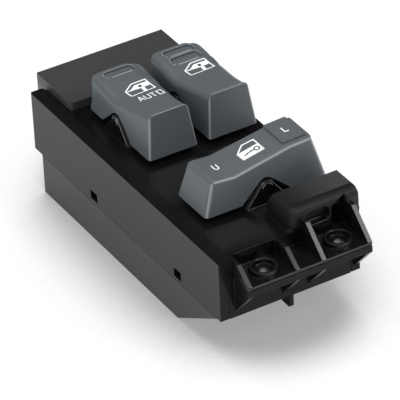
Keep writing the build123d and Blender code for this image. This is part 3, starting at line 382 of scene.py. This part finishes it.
def rounded_copy(node, piece, body, edge, steps, material, shape=None, merge_flats=True, clamp=True):
    """A merged copy of a CAD node with its sharp edges rounded; it stands for that node.

    A shape function may move the copy's vertices, given and returned as an n by 3 array in millimetres, and
    the faces are cut in slices before that. Flats with many holes are left unmerged, and their rounding
    unclamped, so that short edges don't narrow it everywhere. Weighted normals keep the flat faces flat.
    """
    mesh = frame["nodes"][node].data.copy()
    mesh.name = piece
    work = bmesh.new()
    work.from_mesh(mesh)
    bmesh.ops.remove_doubles(work, verts=work.verts, dist=MERGE_DISTANCE)
    if merge_flats:
        bmesh.ops.dissolve_limit(work, angle_limit=FLAT_ANGLE, verts=work.verts, edges=work.edges)
    if shape is not None:
        cut_in_slices(work)
    work.to_mesh(mesh)
    work.free()
    if shape is not None:
        flat = np.empty(len(mesh.vertices) * 3)
        mesh.vertices.foreach_get("co", flat)
        moved = shape(flat.reshape(-1, 3) / MM) * MM
        mesh.vertices.foreach_set("co", moved.ravel())
        mesh.update()
    obj = bpy.data.objects.new(piece, mesh)
    bpy.context.collection.objects.link(obj)
    mesh.shade_smooth()
    mesh.set_sharp_from_angle(angle=SHARP_ANGLE)
    bevel = obj.modifiers.new("Rounded edges", "BEVEL")
    bevel.width = edge
    bevel.segments = steps
    bevel.limit_method = "ANGLE"
    bevel.angle_limit = SHARP_ANGLE
    bevel.miter_outer = "MITER_ARC"
    bevel.use_clamp_overlap = clamp
    flatten = obj.modifiers.new("Flat faces stay flat", "WEIGHTED_NORMAL")
    flatten.mode = "FACE_AREA"
    flatten.weight = 100
    flatten.keep_sharp = True
    dress(obj, material)
    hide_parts(node)
    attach(obj, body)
    return obj


# Points on every rounded corner of a profile
ARC_POINTS = 13


def rounded_line(corners, radii):
    """A polyline through corners with an arc of the given radius at each corner, in the plane.

    The arc touches both sides at radius / tan(half the inner angle) from the corner.
    """
    corners = np.asarray(corners, dtype=float)
    pieces = [corners[:1]]
    for before, corner, after, radius in zip(corners[:-2], corners[1:-1], corners[2:], radii[1:-1]):
        if radius == 0:
            pieces.append(corner[None])
            continue
        back = (before - corner) / np.linalg.norm(before - corner)
        ahead = (after - corner) / np.linalg.norm(after - corner)
        half = math.acos(float(np.clip(back @ ahead, -1, 1))) / 2
        inward = (back + ahead) / np.linalg.norm(back + ahead)
        centre = corner + inward * radius / math.sin(half)
        start = corner + back * radius / math.tan(half) - centre
        end = corner + ahead * radius / math.tan(half) - centre
        share = np.linspace(0, 1, ARC_POINTS)[:, None]
        spread = math.pi - 2 * half
        bend = (np.sin((1 - share) * spread) * start + np.sin(share * spread) * end) / math.sin(spread)
        pieces.append(centre + bend)
    pieces.append(corners[-1:])
    return np.concatenate(pieces)


# The rockers in millimetres: the height of their foot, the corners of their tops' profiles (the run and the
# height) with the radius at each, and the x of the window rockers' middles
ROCKER_FOOT = 31.5
WINDOW_CROWN = rounded_line(
    [(-0.2, ROCKER_FOOT), (1.55, 44.7), (3.0, 43.75), (18.6, 40.9), (25.6, 41.55), (32.2, 41.5),
     (33.7, ROCKER_FOOT)],
    [0, 0, 2.2, 9, 9, 0, 0])
LOCK_CROWN = rounded_line(
    [(-14.2, ROCKER_FOOT), (-11.3, 41.35), (-4.4, 40.75), (12.4, 43.6), (19.8, 43.9), (23.2, ROCKER_FOOT)],
    [0, 1.6, 9, 9, 2.6, 0])
WINDOW_CENTRES = {"driver_rocker": -4.95, "passenger_rocker": 13.7}

# A window rocker's side walls and the rounding between them and the top: half the width at the foot, the
# lean per millimetre of height, the rounding's radius, how far in it begins, and how far out marks may lie
FOOT_HALF_WIDTH = 7.6
WALL_LEAN = 0.1143
ROUNDING = 2.2
ROUNDING_REACH = 1.963
ROUNDING_USED = 1.9

# The raised pad of the lock rocker
PAD_X = (11.8, 18.6)
PAD_Y = (-28.8, -18.8)
PAD_RISE = 0.5

# The fuller rear end of the window rockers: the share by which it widens, how far it moves to the right and
# rises, and the ranges of y and z over which that comes in
SWELL = 0.18
SWELL_Y = (6, 22)
SWELL_Z = (33, 41)
SHIFT = 0.3
RISE = 0.5
RISE_Y = (20, 29)
RISE_Z = (36, 41)

# The finger recesses: y of each one's front and rear, and the x of both ends from the rocker's middle
RECESSES = {"driver_rocker": [(27.35, 30.65)], "passenger_rocker": [(23.3, 26.7), (27.35, 30.65)]}
RECESS_ENDS = (-4.25, 4.9)

# Where the recesses are on the solid and where they are moved to, along y and across x, and the ranges of z,
# y and x over which that comes in and fades out
ALONG = ((0, 18, 24, 27.4, 27.8, 31.2, 33, 40), (0, 18, 23.3, 26.7, 27.35, 30.65, 33, 40))
ACROSS = ((-9, -7.2, -3.77, 6.6, 7.95, 9), (-9, -7.2, -4.25, 4.9, 7.75, 8.8))
TOP_Z = (38.5, 40.5)
RECESSES_BEGIN_Y = (22.6, 24)
RECESSES_END_Y = (31.5, 33.5)
RECESS_SIDES_X = (4.9, 6.9)


def smooth(value, low, high):
    """The smooth step 3 t^2 - 2 t^3, where t runs from 0 at low to 1 at high."""
    t = np.clip((value - low) / (high - low), 0, 1)
    return t * t * (3 - 2 * t)


def fuller_rear(centre):
    """A window rocker's rear end swells towards its top: wider, a little to the right, and higher.

    With s = smooth(z) smooth(y) over the swell's ranges, x' = centre + (x - centre)(1 + SWELL s) + SHIFT s.
    The height grows by RISE smooth(z) smooth(y) over the rise's ranges. On the top the recesses are moved
    forwards and to the left by two piecewise linear maps, ALONG for y and ACROSS for x.
    """
    def shape(points):
        x, y, z = points.T
        swell = smooth(z, *SWELL_Z) * smooth(y, *SWELL_Y)
        rise = RISE * smooth(z, *RISE_Z) * smooth(y, *RISE_Y)
        top = smooth(z, *TOP_Z)
        across = (x - centre) * (1 + SWELL * swell) + SHIFT * swell
        rear = top * smooth(y, *RECESSES_BEGIN_Y) * (1 - smooth(y, *RECESSES_END_Y))
        across = (1 - rear) * across + rear * np.interp(across, *ACROSS)
        middle = top * (1 - smooth(np.abs(across), *RECESS_SIDES_X))
        along = (1 - middle) * y + middle * np.interp(y, *ALONG)
        return np.column_stack([centre + across, along, z + rise])
    return shape


def window_height(centre):
    """The height of a window rocker's top as a function of x and y.

    It is the side profile at y, less the drop r - sqrt(r^2 - d^2) of the rounding along the long edges,
    where d is how far x lies beyond the flat, plus the rise of the fuller rear end.
    """
    def height(x, y):
        y = np.interp(y, ALONG[1], ALONG[0])
        crown = np.interp(y, WINDOW_CROWN[1:-1, 0], WINDOW_CROWN[1:-1, 1])
        flat = FOOT_HALF_WIDTH - WALL_LEAN * (crown - ROCKER_FOOT) - ROUNDING_REACH
        swell = smooth(y, *SWELL_Y)
        across = np.abs(x - centre - SHIFT * swell) / (1 + SWELL * swell)
        beyond = np.clip(across - flat, 0, ROUNDING_USED)
        drop = ROUNDING - np.sqrt(ROUNDING ** 2 - beyond ** 2)
        return crown - drop + RISE * smooth(y, *RISE_Y)
    return height


def lock_height(x, y):
    """The height of the lock rocker's top: its front profile, and a little more on the raised pad."""
    crown = np.interp(x, LOCK_CROWN[1:-1, 0], LOCK_CROWN[1:-1, 1])
    on_pad = (x > PAD_X[0]) & (x < PAD_X[1]) & (y > PAD_Y[0]) & (y < PAD_Y[1])
    return crown + np.where(on_pad, PAD_RISE, 0.0)


# Printed bands are resampled at this step in millimetres, and filled patches have this many faces each way
RIBBON_STEP = 0.1
PATCH_FACES = 12


def arc(centre, radius, start, end, count):
    """Points on a circle in the plane, from the angle start to the angle end."""
    turn = np.linspace(start, end, count)
    return np.stack([centre[0] + radius * np.cos(turn), centre[1] + radius * np.sin(turn)], 1)


def ribbon(corners, width, closed=False):
    """A flat band of one width along a polyline in the plane.

    The line is resampled at even steps, and each cross-section is square to the line's central difference.
    """
    line = np.asarray(corners, dtype=float)
    if closed:
        line = np.concatenate([line, line[:1]])
    steps = np.linalg.norm(np.diff(line, axis=0), axis=1)
    distance = np.concatenate([[0], np.cumsum(steps)])
    count = max(3, int(distance[-1] / RIBBON_STEP))
    at = np.union1d(np.linspace(0, distance[-1], count), distance)
    points = np.stack([np.interp(at, distance, line[:, 0]), np.interp(at, distance, line[:, 1])], 1)
    if closed:
        around = np.concatenate([points[-2:-1], points, points[1:2]])
        along = around[2:] - around[:-2]
    else:
        along = np.gradient(points, axis=0)
    along /= np.linalg.norm(along, axis=1)[:, None]
    side = np.stack([-along[:, 1], along[:, 0]], 1) * width / 2
    verts = np.concatenate([points + side, points - side])
    n = len(points)
    i = np.arange(n - 1)
    faces = np.stack([i, i + n, i + n + 1, i + 1], 1)
    return verts, faces


def patch(a, b, c, d):
    """A filled grid of faces between four corners in the plane, each point a blend of the four.

    With u and v from 0 to 1, a point is a(1 - u)(1 - v) + b u (1 - v) + c u v + d (1 - u) v.
    """
    a, b, c, d = (np.asarray(corner, dtype=float) for corner in (a, b, c, d))
    count = PATCH_FACES + 1
    u, v = np.meshgrid(np.linspace(0, 1, count), np.linspace(0, 1, count))
    u, v = u.ravel()[:, None], v.ravel()[:, None]
    verts = a * (1 - u) * (1 - v) + b * u * (1 - v) + c * u * v + d * (1 - u) * v
    row, column = np.meshgrid(np.arange(PATCH_FACES), np.arange(PATCH_FACES))
    first = (row * count + column).ravel()
    return verts, np.stack([first, first + 1, first + count + 1, first + count], 1)


def printed_piece(name, shapes, height, lift, body, material):
    """A thin printed film: flat shapes in millimetres laid on a top, whose height is a function of x and y.

    Every shape is a (points, faces) pair in the plane. The film is lift metres above the plastic.
    """
    verts = []
    faces = []
    start = 0
    for points, quads in shapes:
        verts.append(points)
        faces.append(quads + start)
        start += len(points)
    plan = np.concatenate(verts)
    quads = np.concatenate(faces)
    a, b, c = (plan[quads[:, k]] for k in (0, 1, 2))
    turn = (b - a)[:, 0] * (c - a)[:, 1] - (b - a)[:, 1] * (c - a)[:, 0]
    quads = np.where((turn < 0)[:, None], quads[:, ::-1], quads)
    place = np.column_stack([plan, height(plan[:, 0], plan[:, 1])]) * MM
    place[:, 2] += lift
    mesh = bpy.data.meshes.new(name)
    mesh.from_pydata(place.tolist(), [], quads.tolist())
    mesh.update()
    obj = bpy.data.objects.new(name, mesh)
    bpy.context.collection.objects.link(obj)
    film = obj.modifiers.new("Film", "SOLIDIFY")
    film.thickness = sizes().print_thickness
    film.offset = -1.0
    dress(obj, material)
    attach(obj, body)
    return obj


def cover_plastic():
    """The cover's black plastic: painted edge highlights, duller ribs and step, a grained block and step
    top, and painted shade on the step top's left.
    """
    cover = moulded_plastic("Dark cover", finishes().cover_colour, 0.22, 2600.0, 0.00001, 0.2)
    # Painted highlights on the cover's edges, behind the ribs only
    painted_edge_highlights(cover, finishes().edge_highlight_colour, CASE_HIGHLIGHT_DIRECTIONS, 0.95, 0.995, [DECK_BEHIND_RIBS])
    # Painted highlights on the edges of the two pivot towers
    painted_edge_highlights(
        cover, finishes().bright_highlight_colour, TOWER_HIGHLIGHT_DIRECTIONS, 0.9, 0.97, [WINDOW_TOWER_SIDE, LOCK_TOWER_FRONT])
    grained_areas(cover, finishes().step_colour, 0.58, [FRONT_STEP])
    grained_areas(cover, finishes().cover_colour, 0.33, [SHELF_RIBS])
    # The rear block is grained; on the step top the grain's colour fades in along X, a painted shade that is
    # darker towards the left
    grained_areas(cover, finishes().grained_colour, 0.5, [REAR_BLOCK, STEP_TOP])
    return cover


class PANEL_OT_mouldings(Operator):
    """Case, tray, carrier and cover with rounded edges and moulded plastic."""

    bl_idname = "switch_panel.mouldings"
    bl_label = "Mouldings"

    def execute(self, context):
        edge = sizes().moulding_edge
        case = moulded_plastic(
            "Satin black case", finishes().case_colour, 0.22, 2600.0, 0.00001, 0.15, gloss=0.14)
        # Painted highlights on the case's and carrier's edges
        painted_edge_highlights(case, finishes().edge_highlight_colour, CASE_HIGHLIGHT_DIRECTIONS, 0.9, 0.99)
        tray = moulded_plastic(
            "Satin black tray", finishes().case_colour, 0.26, 2600.0, 0.00001, 0.15, gloss=0.24)
        rounded_copy("outer_case", "case_shell", "housing", edge, 2, case)
        rounded_copy("base_tray", "tray_shell", "housing", edge, 2, tray)
        rounded_copy("carrier_frame", "carrier_shell", "housing", edge, 2, case)
        rounded_copy("top_cover", "cover_shell", "housing", edge * COVER_EDGE, 2, cover_plastic(),
                     merge_flats=False, clamp=False)
        return {"FINISHED"}


class PANEL_OT_rockers(Operator):
    """The three rockers in fine matt grey plastic."""

    bl_idname = "switch_panel.rockers"
    bl_label = "Rockers"

    def execute(self, context):
        edge = sizes().rocker_edge
        matt = moulded_plastic(
            "Matt blue grey rocker", finishes().rocker_colour, 0.42, 3200.0, 0.00001, 0.05)
        # Painted highlights on the rockers' nose edges and corners
        painted_edge_highlights(matt, finishes().bright_highlight_colour, ROCKER_HIGHLIGHT_DIRECTIONS, 0.93, 0.985)
        rounded_copy("driver_window_rocker", "driver_rocker_shell", "driver_rocker", edge, 3, matt,
                     fuller_rear(WINDOW_CENTRES["driver_rocker"]))
        rounded_copy("passenger_window_rocker", "passenger_rocker_shell", "passenger_rocker", edge, 3, matt,
                     fuller_rear(WINDOW_CENTRES["passenger_rocker"]))
        rounded_copy("door_lock_rocker", "lock_rocker_shell", "lock_rocker", edge, 3, matt)
        return {"FINISHED"}


# The car door of the window rockers in millimetres: how far it stands right of the rocker's middle, and its
# lines and filled areas, with x from its own middle
DOOR_SHIFT = 1.2
DOOR_OUTLINE = ((-3.81, 20.2), (-0.9, 22.25), (3.45, 22.3), (4.1, 17.75), (-3.5, 17.2))
DOOR_PANE = ((-2.75, 19.75), (3.5, 19.75), (3.4, 21.4), (-0.5, 21.4))
DOOR_POST = ((0.65, 17.8), (1.6, 17.8), (1.75, 19.8), (0.7, 19.8))
DOOR_SILL = ((-3.5, 19.9), (-2.6, 19.9), (1.0, 19.75))
DOOR_HOLE = (0.85, 20.45)
DOOR_HOLE_RADIUS = 0.28
DOOR_HOLE_LINE = 0.5

# The word on the driver's rocker: its lower left corner, the letters' height and pitch, and how much thinner
# its lines are
WORD_START = (-7.1, 12.5)
LETTER_HEIGHT = 2.85
LETTER_PITCH = 2.05
WORD_STROKE = 0.88

# The painted highlight on a recess's rim: the radius of its corners and the widths of its three lines
RIM_RADIUS = 1.3
RIM_LINES = (0.22, 0.42, 0.3)

# The car door with a key on the lock rocker, and the letters on its two ends
LOCK_DOOR = ((0.85, -23.8), (3.65, -21.25), (7.2, -21.35), (7.25, -26.75), (0.9, -26.9))
LOCK_DOOR_STROKE = 1.15
LOCK_DOOR_PANEL = ((0.8, -27.0), (7.3, -26.85), (7.25, -23.5), (0.9, -23.75))
KEY_RING = (5.95, -25.2)
KEY_RING_RADIUS = 0.72
KEY_RING_LINE = 0.42
KEY_LINE = 0.4
KEY_SHANK = ((1.85, -25.45), (2.5, -25.6), (3.0, -25.35), (5.3, -25.1))
KEY_TEETH = (((2.95, -25.4), (2.95, -24.95)), ((4.2, -25.2), (4.25, -24.75)))
UNLOCK_LETTER_X = (-7.1, -5.8)
UNLOCK_LETTER_TOP = -23.5
UNLOCK_BOWL = (-6.45, -25.15)
UNLOCK_BOWL_RADIUS = 0.65
LOCK_LETTER = ((14.9, -22.7), (14.9, -24.9), (16.15, -24.9))

# Marks that lie on other marks are lifted more, and the painted highlights on the recess rims less
OVERPRINT = 1.8
RIM_LIFT = 0.5


def shifted(points, x):
    """Points in the plane moved along x."""
    return np.asarray(points, dtype=float) + (x, 0)


def recess_highlight(left, right, low, high):
    """Painted highlight on the rim of one finger recess: a thin line behind and on the right, a wider one in
    front.
    """
    back = np.concatenate([
        [(left, low + 1.2)],
        arc((left + RIM_RADIUS, high - RIM_RADIUS), RIM_RADIUS, math.pi, math.pi / 2, 7),
        arc((right - RIM_RADIUS, high - RIM_RADIUS), RIM_RADIUS, math.pi / 2, 0, 7),
        [(right, low + 1.0)]])
    front = [(left + 1.5, low), (right - 1.2, low)]
    end = [(left + 0.1, low + 0.7), (left + 0.6, low + 0.15)]
    return [ribbon(line, width) for line, width in zip((back, front, end), RIM_LINES)]


def door_shapes(x, stroke):
    """The car door of a window rocker, with its pane and post filled."""
    return [
        ribbon(shifted(DOOR_OUTLINE, x), stroke, closed=True),
        patch(*shifted(DOOR_PANE, x)),
        patch(*shifted(DOOR_POST, x)),
        ribbon(shifted(DOOR_SILL, x), stroke),
    ]


def word_shapes(stroke):
    """The four letters of AUTO side by side, each drawn from its own left edge."""
    a, low = WORD_START
    u, t, o = (a + LETTER_PITCH * place for place in (1, 2, 3))
    top = low + LETTER_HEIGHT
    bowl = arc((u + 0.68, low + 0.68), 0.68, math.pi, 2 * math.pi, 9)
    return [
        ribbon([(a, low), (a + 0.72, top), (a + 1.44, low)], stroke),
        ribbon([(a + 0.3, low + 0.9), (a + 1.14, low + 0.9)], stroke),
        ribbon([(u, top), *bowl, (u + 1.36, top)], stroke),
        ribbon([(t - 0.2, top - 0.1), (t + 1.2, top - 0.1)], stroke),
        ribbon([(t + 0.5, top), (t + 0.5, low)], stroke),
        ribbon([(o - 0.1, low + 0.15), (o + 1.3, low + 0.15), (o + 1.3, top), (o - 0.1, top)], stroke,
               closed=True),
    ]


class PANEL_OT_window_marks(Operator):
    """The marks of the window rockers: a car door on both, AUTO on the driver's, and painted highlights on
    the recess rims.
    """

    bl_idname = "switch_panel.window_marks"
    bl_label = "Window marks"

    def execute(self, context):
        white = moulded_plastic("White print", finishes().print_colour, 0.5, 2000.0, 0.000004, 0.02)
        dark = moulded_plastic("Bare spot in print", finishes().rocker_colour, 0.42, 3200.0, 0.000004, 0.05)
        lift = sizes().print_lift
        stroke = sizes().stroke / MM
        for body, centre in WINDOW_CENTRES.items():
            height = window_height(centre)
            x = centre + DOOR_SHIFT
            printed_piece(body + "_window_mark", door_shapes(x, stroke), height, lift, body, white)
            hole = arc((x + DOOR_HOLE[0], DOOR_HOLE[1]), DOOR_HOLE_RADIUS, 0, 2 * math.pi, 17)
            printed_piece(body + "_window_mark_hole", [ribbon(hole, DOOR_HOLE_LINE)], height,
                          lift * OVERPRINT, body, dark)
            # The recess rims' material is a painted highlight in the bright highlight colour
            bright = moulded_plastic(
                body + " recess rim", finishes().bright_highlight_colour, 0.42, 3200.0, 0.000004, 0.05)
            left, right = (centre + end for end in RECESS_ENDS)
            rim_highlights = []
            for low, high in RECESSES[body]:
                rim_highlights += recess_highlight(left, right, low, high)
            printed_piece(body + "_recess_rim", rim_highlights, height, lift * RIM_LIFT, body, bright)
        height = window_height(WINDOW_CENTRES["driver_rocker"])
        printed_piece("auto_word", word_shapes(stroke * WORD_STROKE), height, lift, "driver_rocker", white)
        return {"FINISHED"}


class PANEL_OT_lock_marks(Operator):
    """The car door with a key, and the letters for unlock and lock, on the crosswise rocker."""

    bl_idname = "switch_panel.lock_marks"
    bl_label = "Lock marks"

    def execute(self, context):
        white = moulded_plastic("White lock print", finishes().print_colour, 0.5, 2000.0, 0.000004, 0.02)
        dark = moulded_plastic("Key in print", finishes().rocker_colour, 0.42, 3200.0, 0.000004, 0.05)
        lift = sizes().print_lift
        stroke = sizes().stroke / MM
        door = [ribbon(LOCK_DOOR, stroke * LOCK_DOOR_STROKE, closed=True), patch(*LOCK_DOOR_PANEL)]
        printed_piece("lock_door_mark", door, lock_height, lift, "lock_rocker", white)
        key = [
            ribbon(arc(KEY_RING, KEY_RING_RADIUS, 0, 2 * math.pi, 25), KEY_RING_LINE),
            ribbon(KEY_SHANK, KEY_LINE),
            *[ribbon(tooth, KEY_LINE) for tooth in KEY_TEETH],
        ]
        printed_piece("lock_key_mark", key, lock_height, lift * OVERPRINT, "lock_rocker", dark)
        left, right = UNLOCK_LETTER_X
        bowl = arc(UNLOCK_BOWL, UNLOCK_BOWL_RADIUS, math.pi, 2 * math.pi, 9)
        letter_u = [ribbon([(left, UNLOCK_LETTER_TOP), *bowl, (right, UNLOCK_LETTER_TOP)], stroke)]
        printed_piece("unlock_letter", letter_u, lock_height, lift, "lock_rocker", white)
        printed_piece("lock_letter", [ribbon(LOCK_LETTER, stroke)], lock_height, lift, "lock_rocker", white)
        return {"FINISHED"}


class PANEL_OT_internals(Operator):
    """Finishes of the small inner pieces, the terminals and the screws."""

    bl_idname = "switch_panel.internals"
    bl_label = "Internals"

    def execute(self, context):
        looks = {
            "plunger_plastic": moulded_plastic(
                "Natural plunger plastic", (0.62, 0.6, 0.54), 0.4, 1800.0, 0.00001, 0.06),
            "spring_steel": stamped_metal("Drawn spring wire", (0.6, 0.6, 0.6), 0.3, 1500.0),
            "contact_brass": stamped_metal("Stamped brass", (0.78, 0.6, 0.32), 0.32, 1200.0),
            "tinned_pin": stamped_metal("Tinned terminal", (0.72, 0.72, 0.7), 0.35, 1400.0),
            "board_laminate": moulded_plastic(
                "Green board lacquer", (0.03, 0.13, 0.05), 0.3, 900.0, 0.00003, 0.2),
            "component_plastic": moulded_plastic(
                "Black component body", (0.02, 0.02, 0.02), 0.5, 2400.0, 0.00002, 0.1),
            "capacitor_can": stamped_metal("Capacitor can", (0.55, 0.56, 0.58), 0.35, 700.0),
            "blackened_screw": stamped_metal("Blackened screw", (0.12, 0.12, 0.125), 0.3, 900.0),
        }
        for node, obj in frame["nodes"].items():
            slot = slot_of(node)
            if slot in looks:
                dress(obj, looks[slot])
        return {"FINISHED"}


# The camera as read from the photograph: azimuth, elevation and roll in degrees, its place in metres, and
# its focal length in pixels of the picture
CAMERA_ANGLES = (-29.334, 34.055, 2.888)
CAMERA_PLACE = (-0.413662, -0.740292, 0.587423)
FOCAL_PIXELS = 3793.73
PICTURE_PIXELS = 400.0
SENSOR_WIDTH = 36.0
CLIP_END = 20.0

# Softboxes: name, place, width and height in metres, and the finish that holds the power
SOFTBOXES = (
    ("Key softbox", (0.45, -0.62, 0.80), 0.36, 0.26, "key_power"),
    ("Top softbox", (-0.1, 0.05, 1.1), 1.0, 0.9, "top_power"),
)

# The air is brightest towards this direction, and its strength runs between these shares of the air light
AIR_DIRECTION = (-0.62, 0.66, 0.42)
AIR_RANGE = (0.05, 1.75)

# The floor: half its width in metres, its colour, the share of its own glow that the camera sees, and the
# shade round the object: how far it reaches, the way it leans, and the openness and glow at both its ends
FLOOR_REACH = 3.0
FLOOR_COLOUR = (0.93, 0.93, 0.93, 1)
FLOOR_GLOW = 0.88
SHADE_REACH = 0.05
SHADE_LEAN = (0.45, 0.78, 0.44)
SHADE_OPENNESS = (0.52, 0.80)
SHADE_GLOW = (0.38, 1.0)


def camera_matrix():
    """The camera's place and turn: it looks along its azimuth and elevation, rolled round its own axis."""
    azimuth, elevation, roll = (math.radians(v) for v in CAMERA_ANGLES)
    back = Vector((math.sin(azimuth) * math.cos(elevation), -math.cos(azimuth) * math.cos(elevation),
                   math.sin(elevation)))
    right = Vector((math.cos(azimuth), math.sin(azimuth), 0.0))
    up = back.cross(right)
    turned_right = right * math.cos(roll) - up * math.sin(roll)
    turned_up = right * math.sin(roll) + up * math.cos(roll)
    place = Vector(CAMERA_PLACE)
    return Matrix((
        (turned_right.x, turned_up.x, back.x, place.x),
        (turned_right.y, turned_up.y, back.y, place.y),
        (turned_right.z, turned_up.z, back.z, place.z),
        (0, 0, 0, 1),
    ))


def area_light(name, place, target, width, height, power):
    """A rectangular softbox at place that faces target."""
    data = bpy.data.lights.new(name, "AREA")
    data.shape = "RECTANGLE"
    data.size = width
    data.size_y = height
    data.energy = power
    obj = bpy.data.objects.new(name, data)
    bpy.context.collection.objects.link(obj)
    obj.location = place
    obj.rotation_euler = (Vector(target) - Vector(place)).to_track_quat("-Z", "Y").to_euler()
    return obj


def floor_paint():
    """White paint that takes the object's shadow, with a share of glow that only the camera sees.

    The glow darkens near the object, where an ambient occlusion along a leaning normal finds it.
    """
    white = bpy.data.materials.new("White studio floor")
    white.use_nodes = True
    nodes = white.node_tree.nodes
    links = white.node_tree.links
    shader = nodes["Principled BSDF"]
    shader.inputs["Roughness"].default_value = 0.6
    shader.inputs["Base Color"].default_value = FLOOR_COLOUR
    near = nodes.new("ShaderNodeAmbientOcclusion")
    near.samples = 16
    near.inputs["Distance"].default_value = SHADE_REACH
    near.inputs["Normal"].default_value = Vector(SHADE_LEAN).normalized()
    tone = nodes.new("ShaderNodeMapRange")
    tone.inputs["From Min"].default_value, tone.inputs["From Max"].default_value = SHADE_OPENNESS
    tone.inputs["To Min"].default_value, tone.inputs["To Max"].default_value = SHADE_GLOW
    links.new(near.outputs["AO"], tone.inputs["Value"])
    glow = nodes.new("ShaderNodeEmission")
    links.new(tone.outputs["Result"], glow.inputs["Strength"])
    seen = nodes.new("ShaderNodeLightPath")
    share = nodes.new("ShaderNodeMath")
    share.operation = "MULTIPLY"
    share.inputs[1].default_value = FLOOR_GLOW
    links.new(seen.outputs["Is Camera Ray"], share.inputs[0])
    both = nodes.new("ShaderNodeMixShader")
    links.new(share.outputs["Value"], both.inputs["Fac"])
    links.new(shader.outputs["BSDF"], both.inputs[1])
    links.new(glow.outputs["Emission"], both.inputs[2])
    links.new(both.outputs["Shader"], nodes["Material Output"].inputs["Surface"])
    return white


def studio_air():
    """White air, brighter from behind on the left, and nearly black in glossy reflections."""
    world = bpy.data.worlds.new("Studio air")
    world.use_nodes = True
    nodes = world.node_tree.nodes
    links = world.node_tree.links
    air = nodes["Background"]
    air.inputs["Color"].default_value = (1, 1, 1, 1)
    where = nodes.new("ShaderNodeTexCoord")
    facing = nodes.new("ShaderNodeVectorMath")
    facing.operation = "DOT_PRODUCT"
    facing.inputs[1].default_value = Vector(AIR_DIRECTION).normalized()
    links.new(where.outputs["Generated"], facing.inputs[0])
    bright = nodes.new("ShaderNodeMapRange")
    bright.inputs["From Min"].default_value = -1.0
    bright.inputs["To Min"].default_value = finishes().air_light * AIR_RANGE[0]
    bright.inputs["To Max"].default_value = finishes().air_light * AIR_RANGE[1]
    links.new(facing.outputs["Value"], bright.inputs["Value"])
    path = nodes.new("ShaderNodeLightPath")
    level = nodes.new("ShaderNodeMix")
    level.data_type = "FLOAT"
    level.inputs["B"].default_value = finishes().air_mirror
    links.new(path.outputs["Is Glossy Ray"], level.inputs["Factor"])
    links.new(bright.outputs["Result"], level.inputs["A"])
    links.new(level.outputs["Result"], air.inputs["Strength"])
    return world


class PANEL_OT_stage(Operator):
    """White floor, softboxes, world and the camera at the photograph's angle."""

    bl_idname = "switch_panel.stage"
    bl_label = "Stage"

    def execute(self, context):
        scene = context.scene
        corners = [(x * FLOOR_REACH, y * FLOOR_REACH, 0) for x, y in ((-1, -1), (1, -1), (1, 1), (-1, 1))]
        floor_mesh = bpy.data.meshes.new("floor")
        floor_mesh.from_pydata(corners, [], [(0, 1, 2, 3)])
        floor = bpy.data.objects.new("floor", floor_mesh)
        context.collection.objects.link(floor)
        dress(floor, floor_paint())
        scene.world = studio_air()
        for name, place, width, height, power in SOFTBOXES:
            area_light(name, place, (0, 0, 0), width, height, getattr(finishes(), power))
        lens = bpy.data.cameras.new("Camera")
        lens.sensor_width = SENSOR_WIDTH
        lens.lens = FOCAL_PIXELS * SENSOR_WIDTH / PICTURE_PIXELS
        lens.clip_end = CLIP_END
        camera = bpy.data.objects.new("Camera", lens)
        context.collection.objects.link(camera)
        camera.matrix_world = camera_matrix()
        scene.camera = camera
        scene.view_settings.view_transform = "Standard"
        return {"FINISHED"}


class PANEL_PT_sidebar(Panel):
    """Lists the steps and the sizes in the 3D view's sidebar."""

    bl_idname = "PANEL_PT_sidebar"
    bl_label = "Switch Panel"
    bl_space_type = "VIEW_3D"
    bl_region_type = "UI"
    bl_category = "Switch Panel"

    def draw(self, context):
        for step in STEPS:
            self.layout.operator(step.bl_idname)
        for group in (sizes(), finishes()):
            for name in group.__annotations__:
                self.layout.prop(group, name)


STEPS = (PANEL_OT_mouldings, PANEL_OT_rockers, PANEL_OT_window_marks, PANEL_OT_lock_marks,
         PANEL_OT_internals, PANEL_OT_stage)
CLASSES = (SwitchPanelSizes, SwitchPanelFinishes, *STEPS, PANEL_PT_sidebar)


def register():
    """Registers the classes and hangs the two groups on the scene."""
    for item in CLASSES:
        bpy.utils.register_class(item)
    bpy.types.Scene.switch_panel_sizes = PointerProperty(type=SwitchPanelSizes)
    bpy.types.Scene.switch_panel_finishes = PointerProperty(type=SwitchPanelFinishes)


def unregister():
    """Removes the groups and the classes."""
    del bpy.types.Scene.switch_panel_finishes
    del bpy.types.Scene.switch_panel_sizes
    for item in reversed(CLASSES):
        bpy.utils.unregister_class(item)


def main():
    """Runs the steps in order."""
    register()
    bpy.ops.switch_panel.mouldings()
    bpy.ops.switch_panel.rockers()
    bpy.ops.switch_panel.window_marks()
    bpy.ops.switch_panel.lock_marks()
    bpy.ops.switch_panel.internals()
    bpy.ops.switch_panel.stage()


if __name__ == "__main__":
    main()
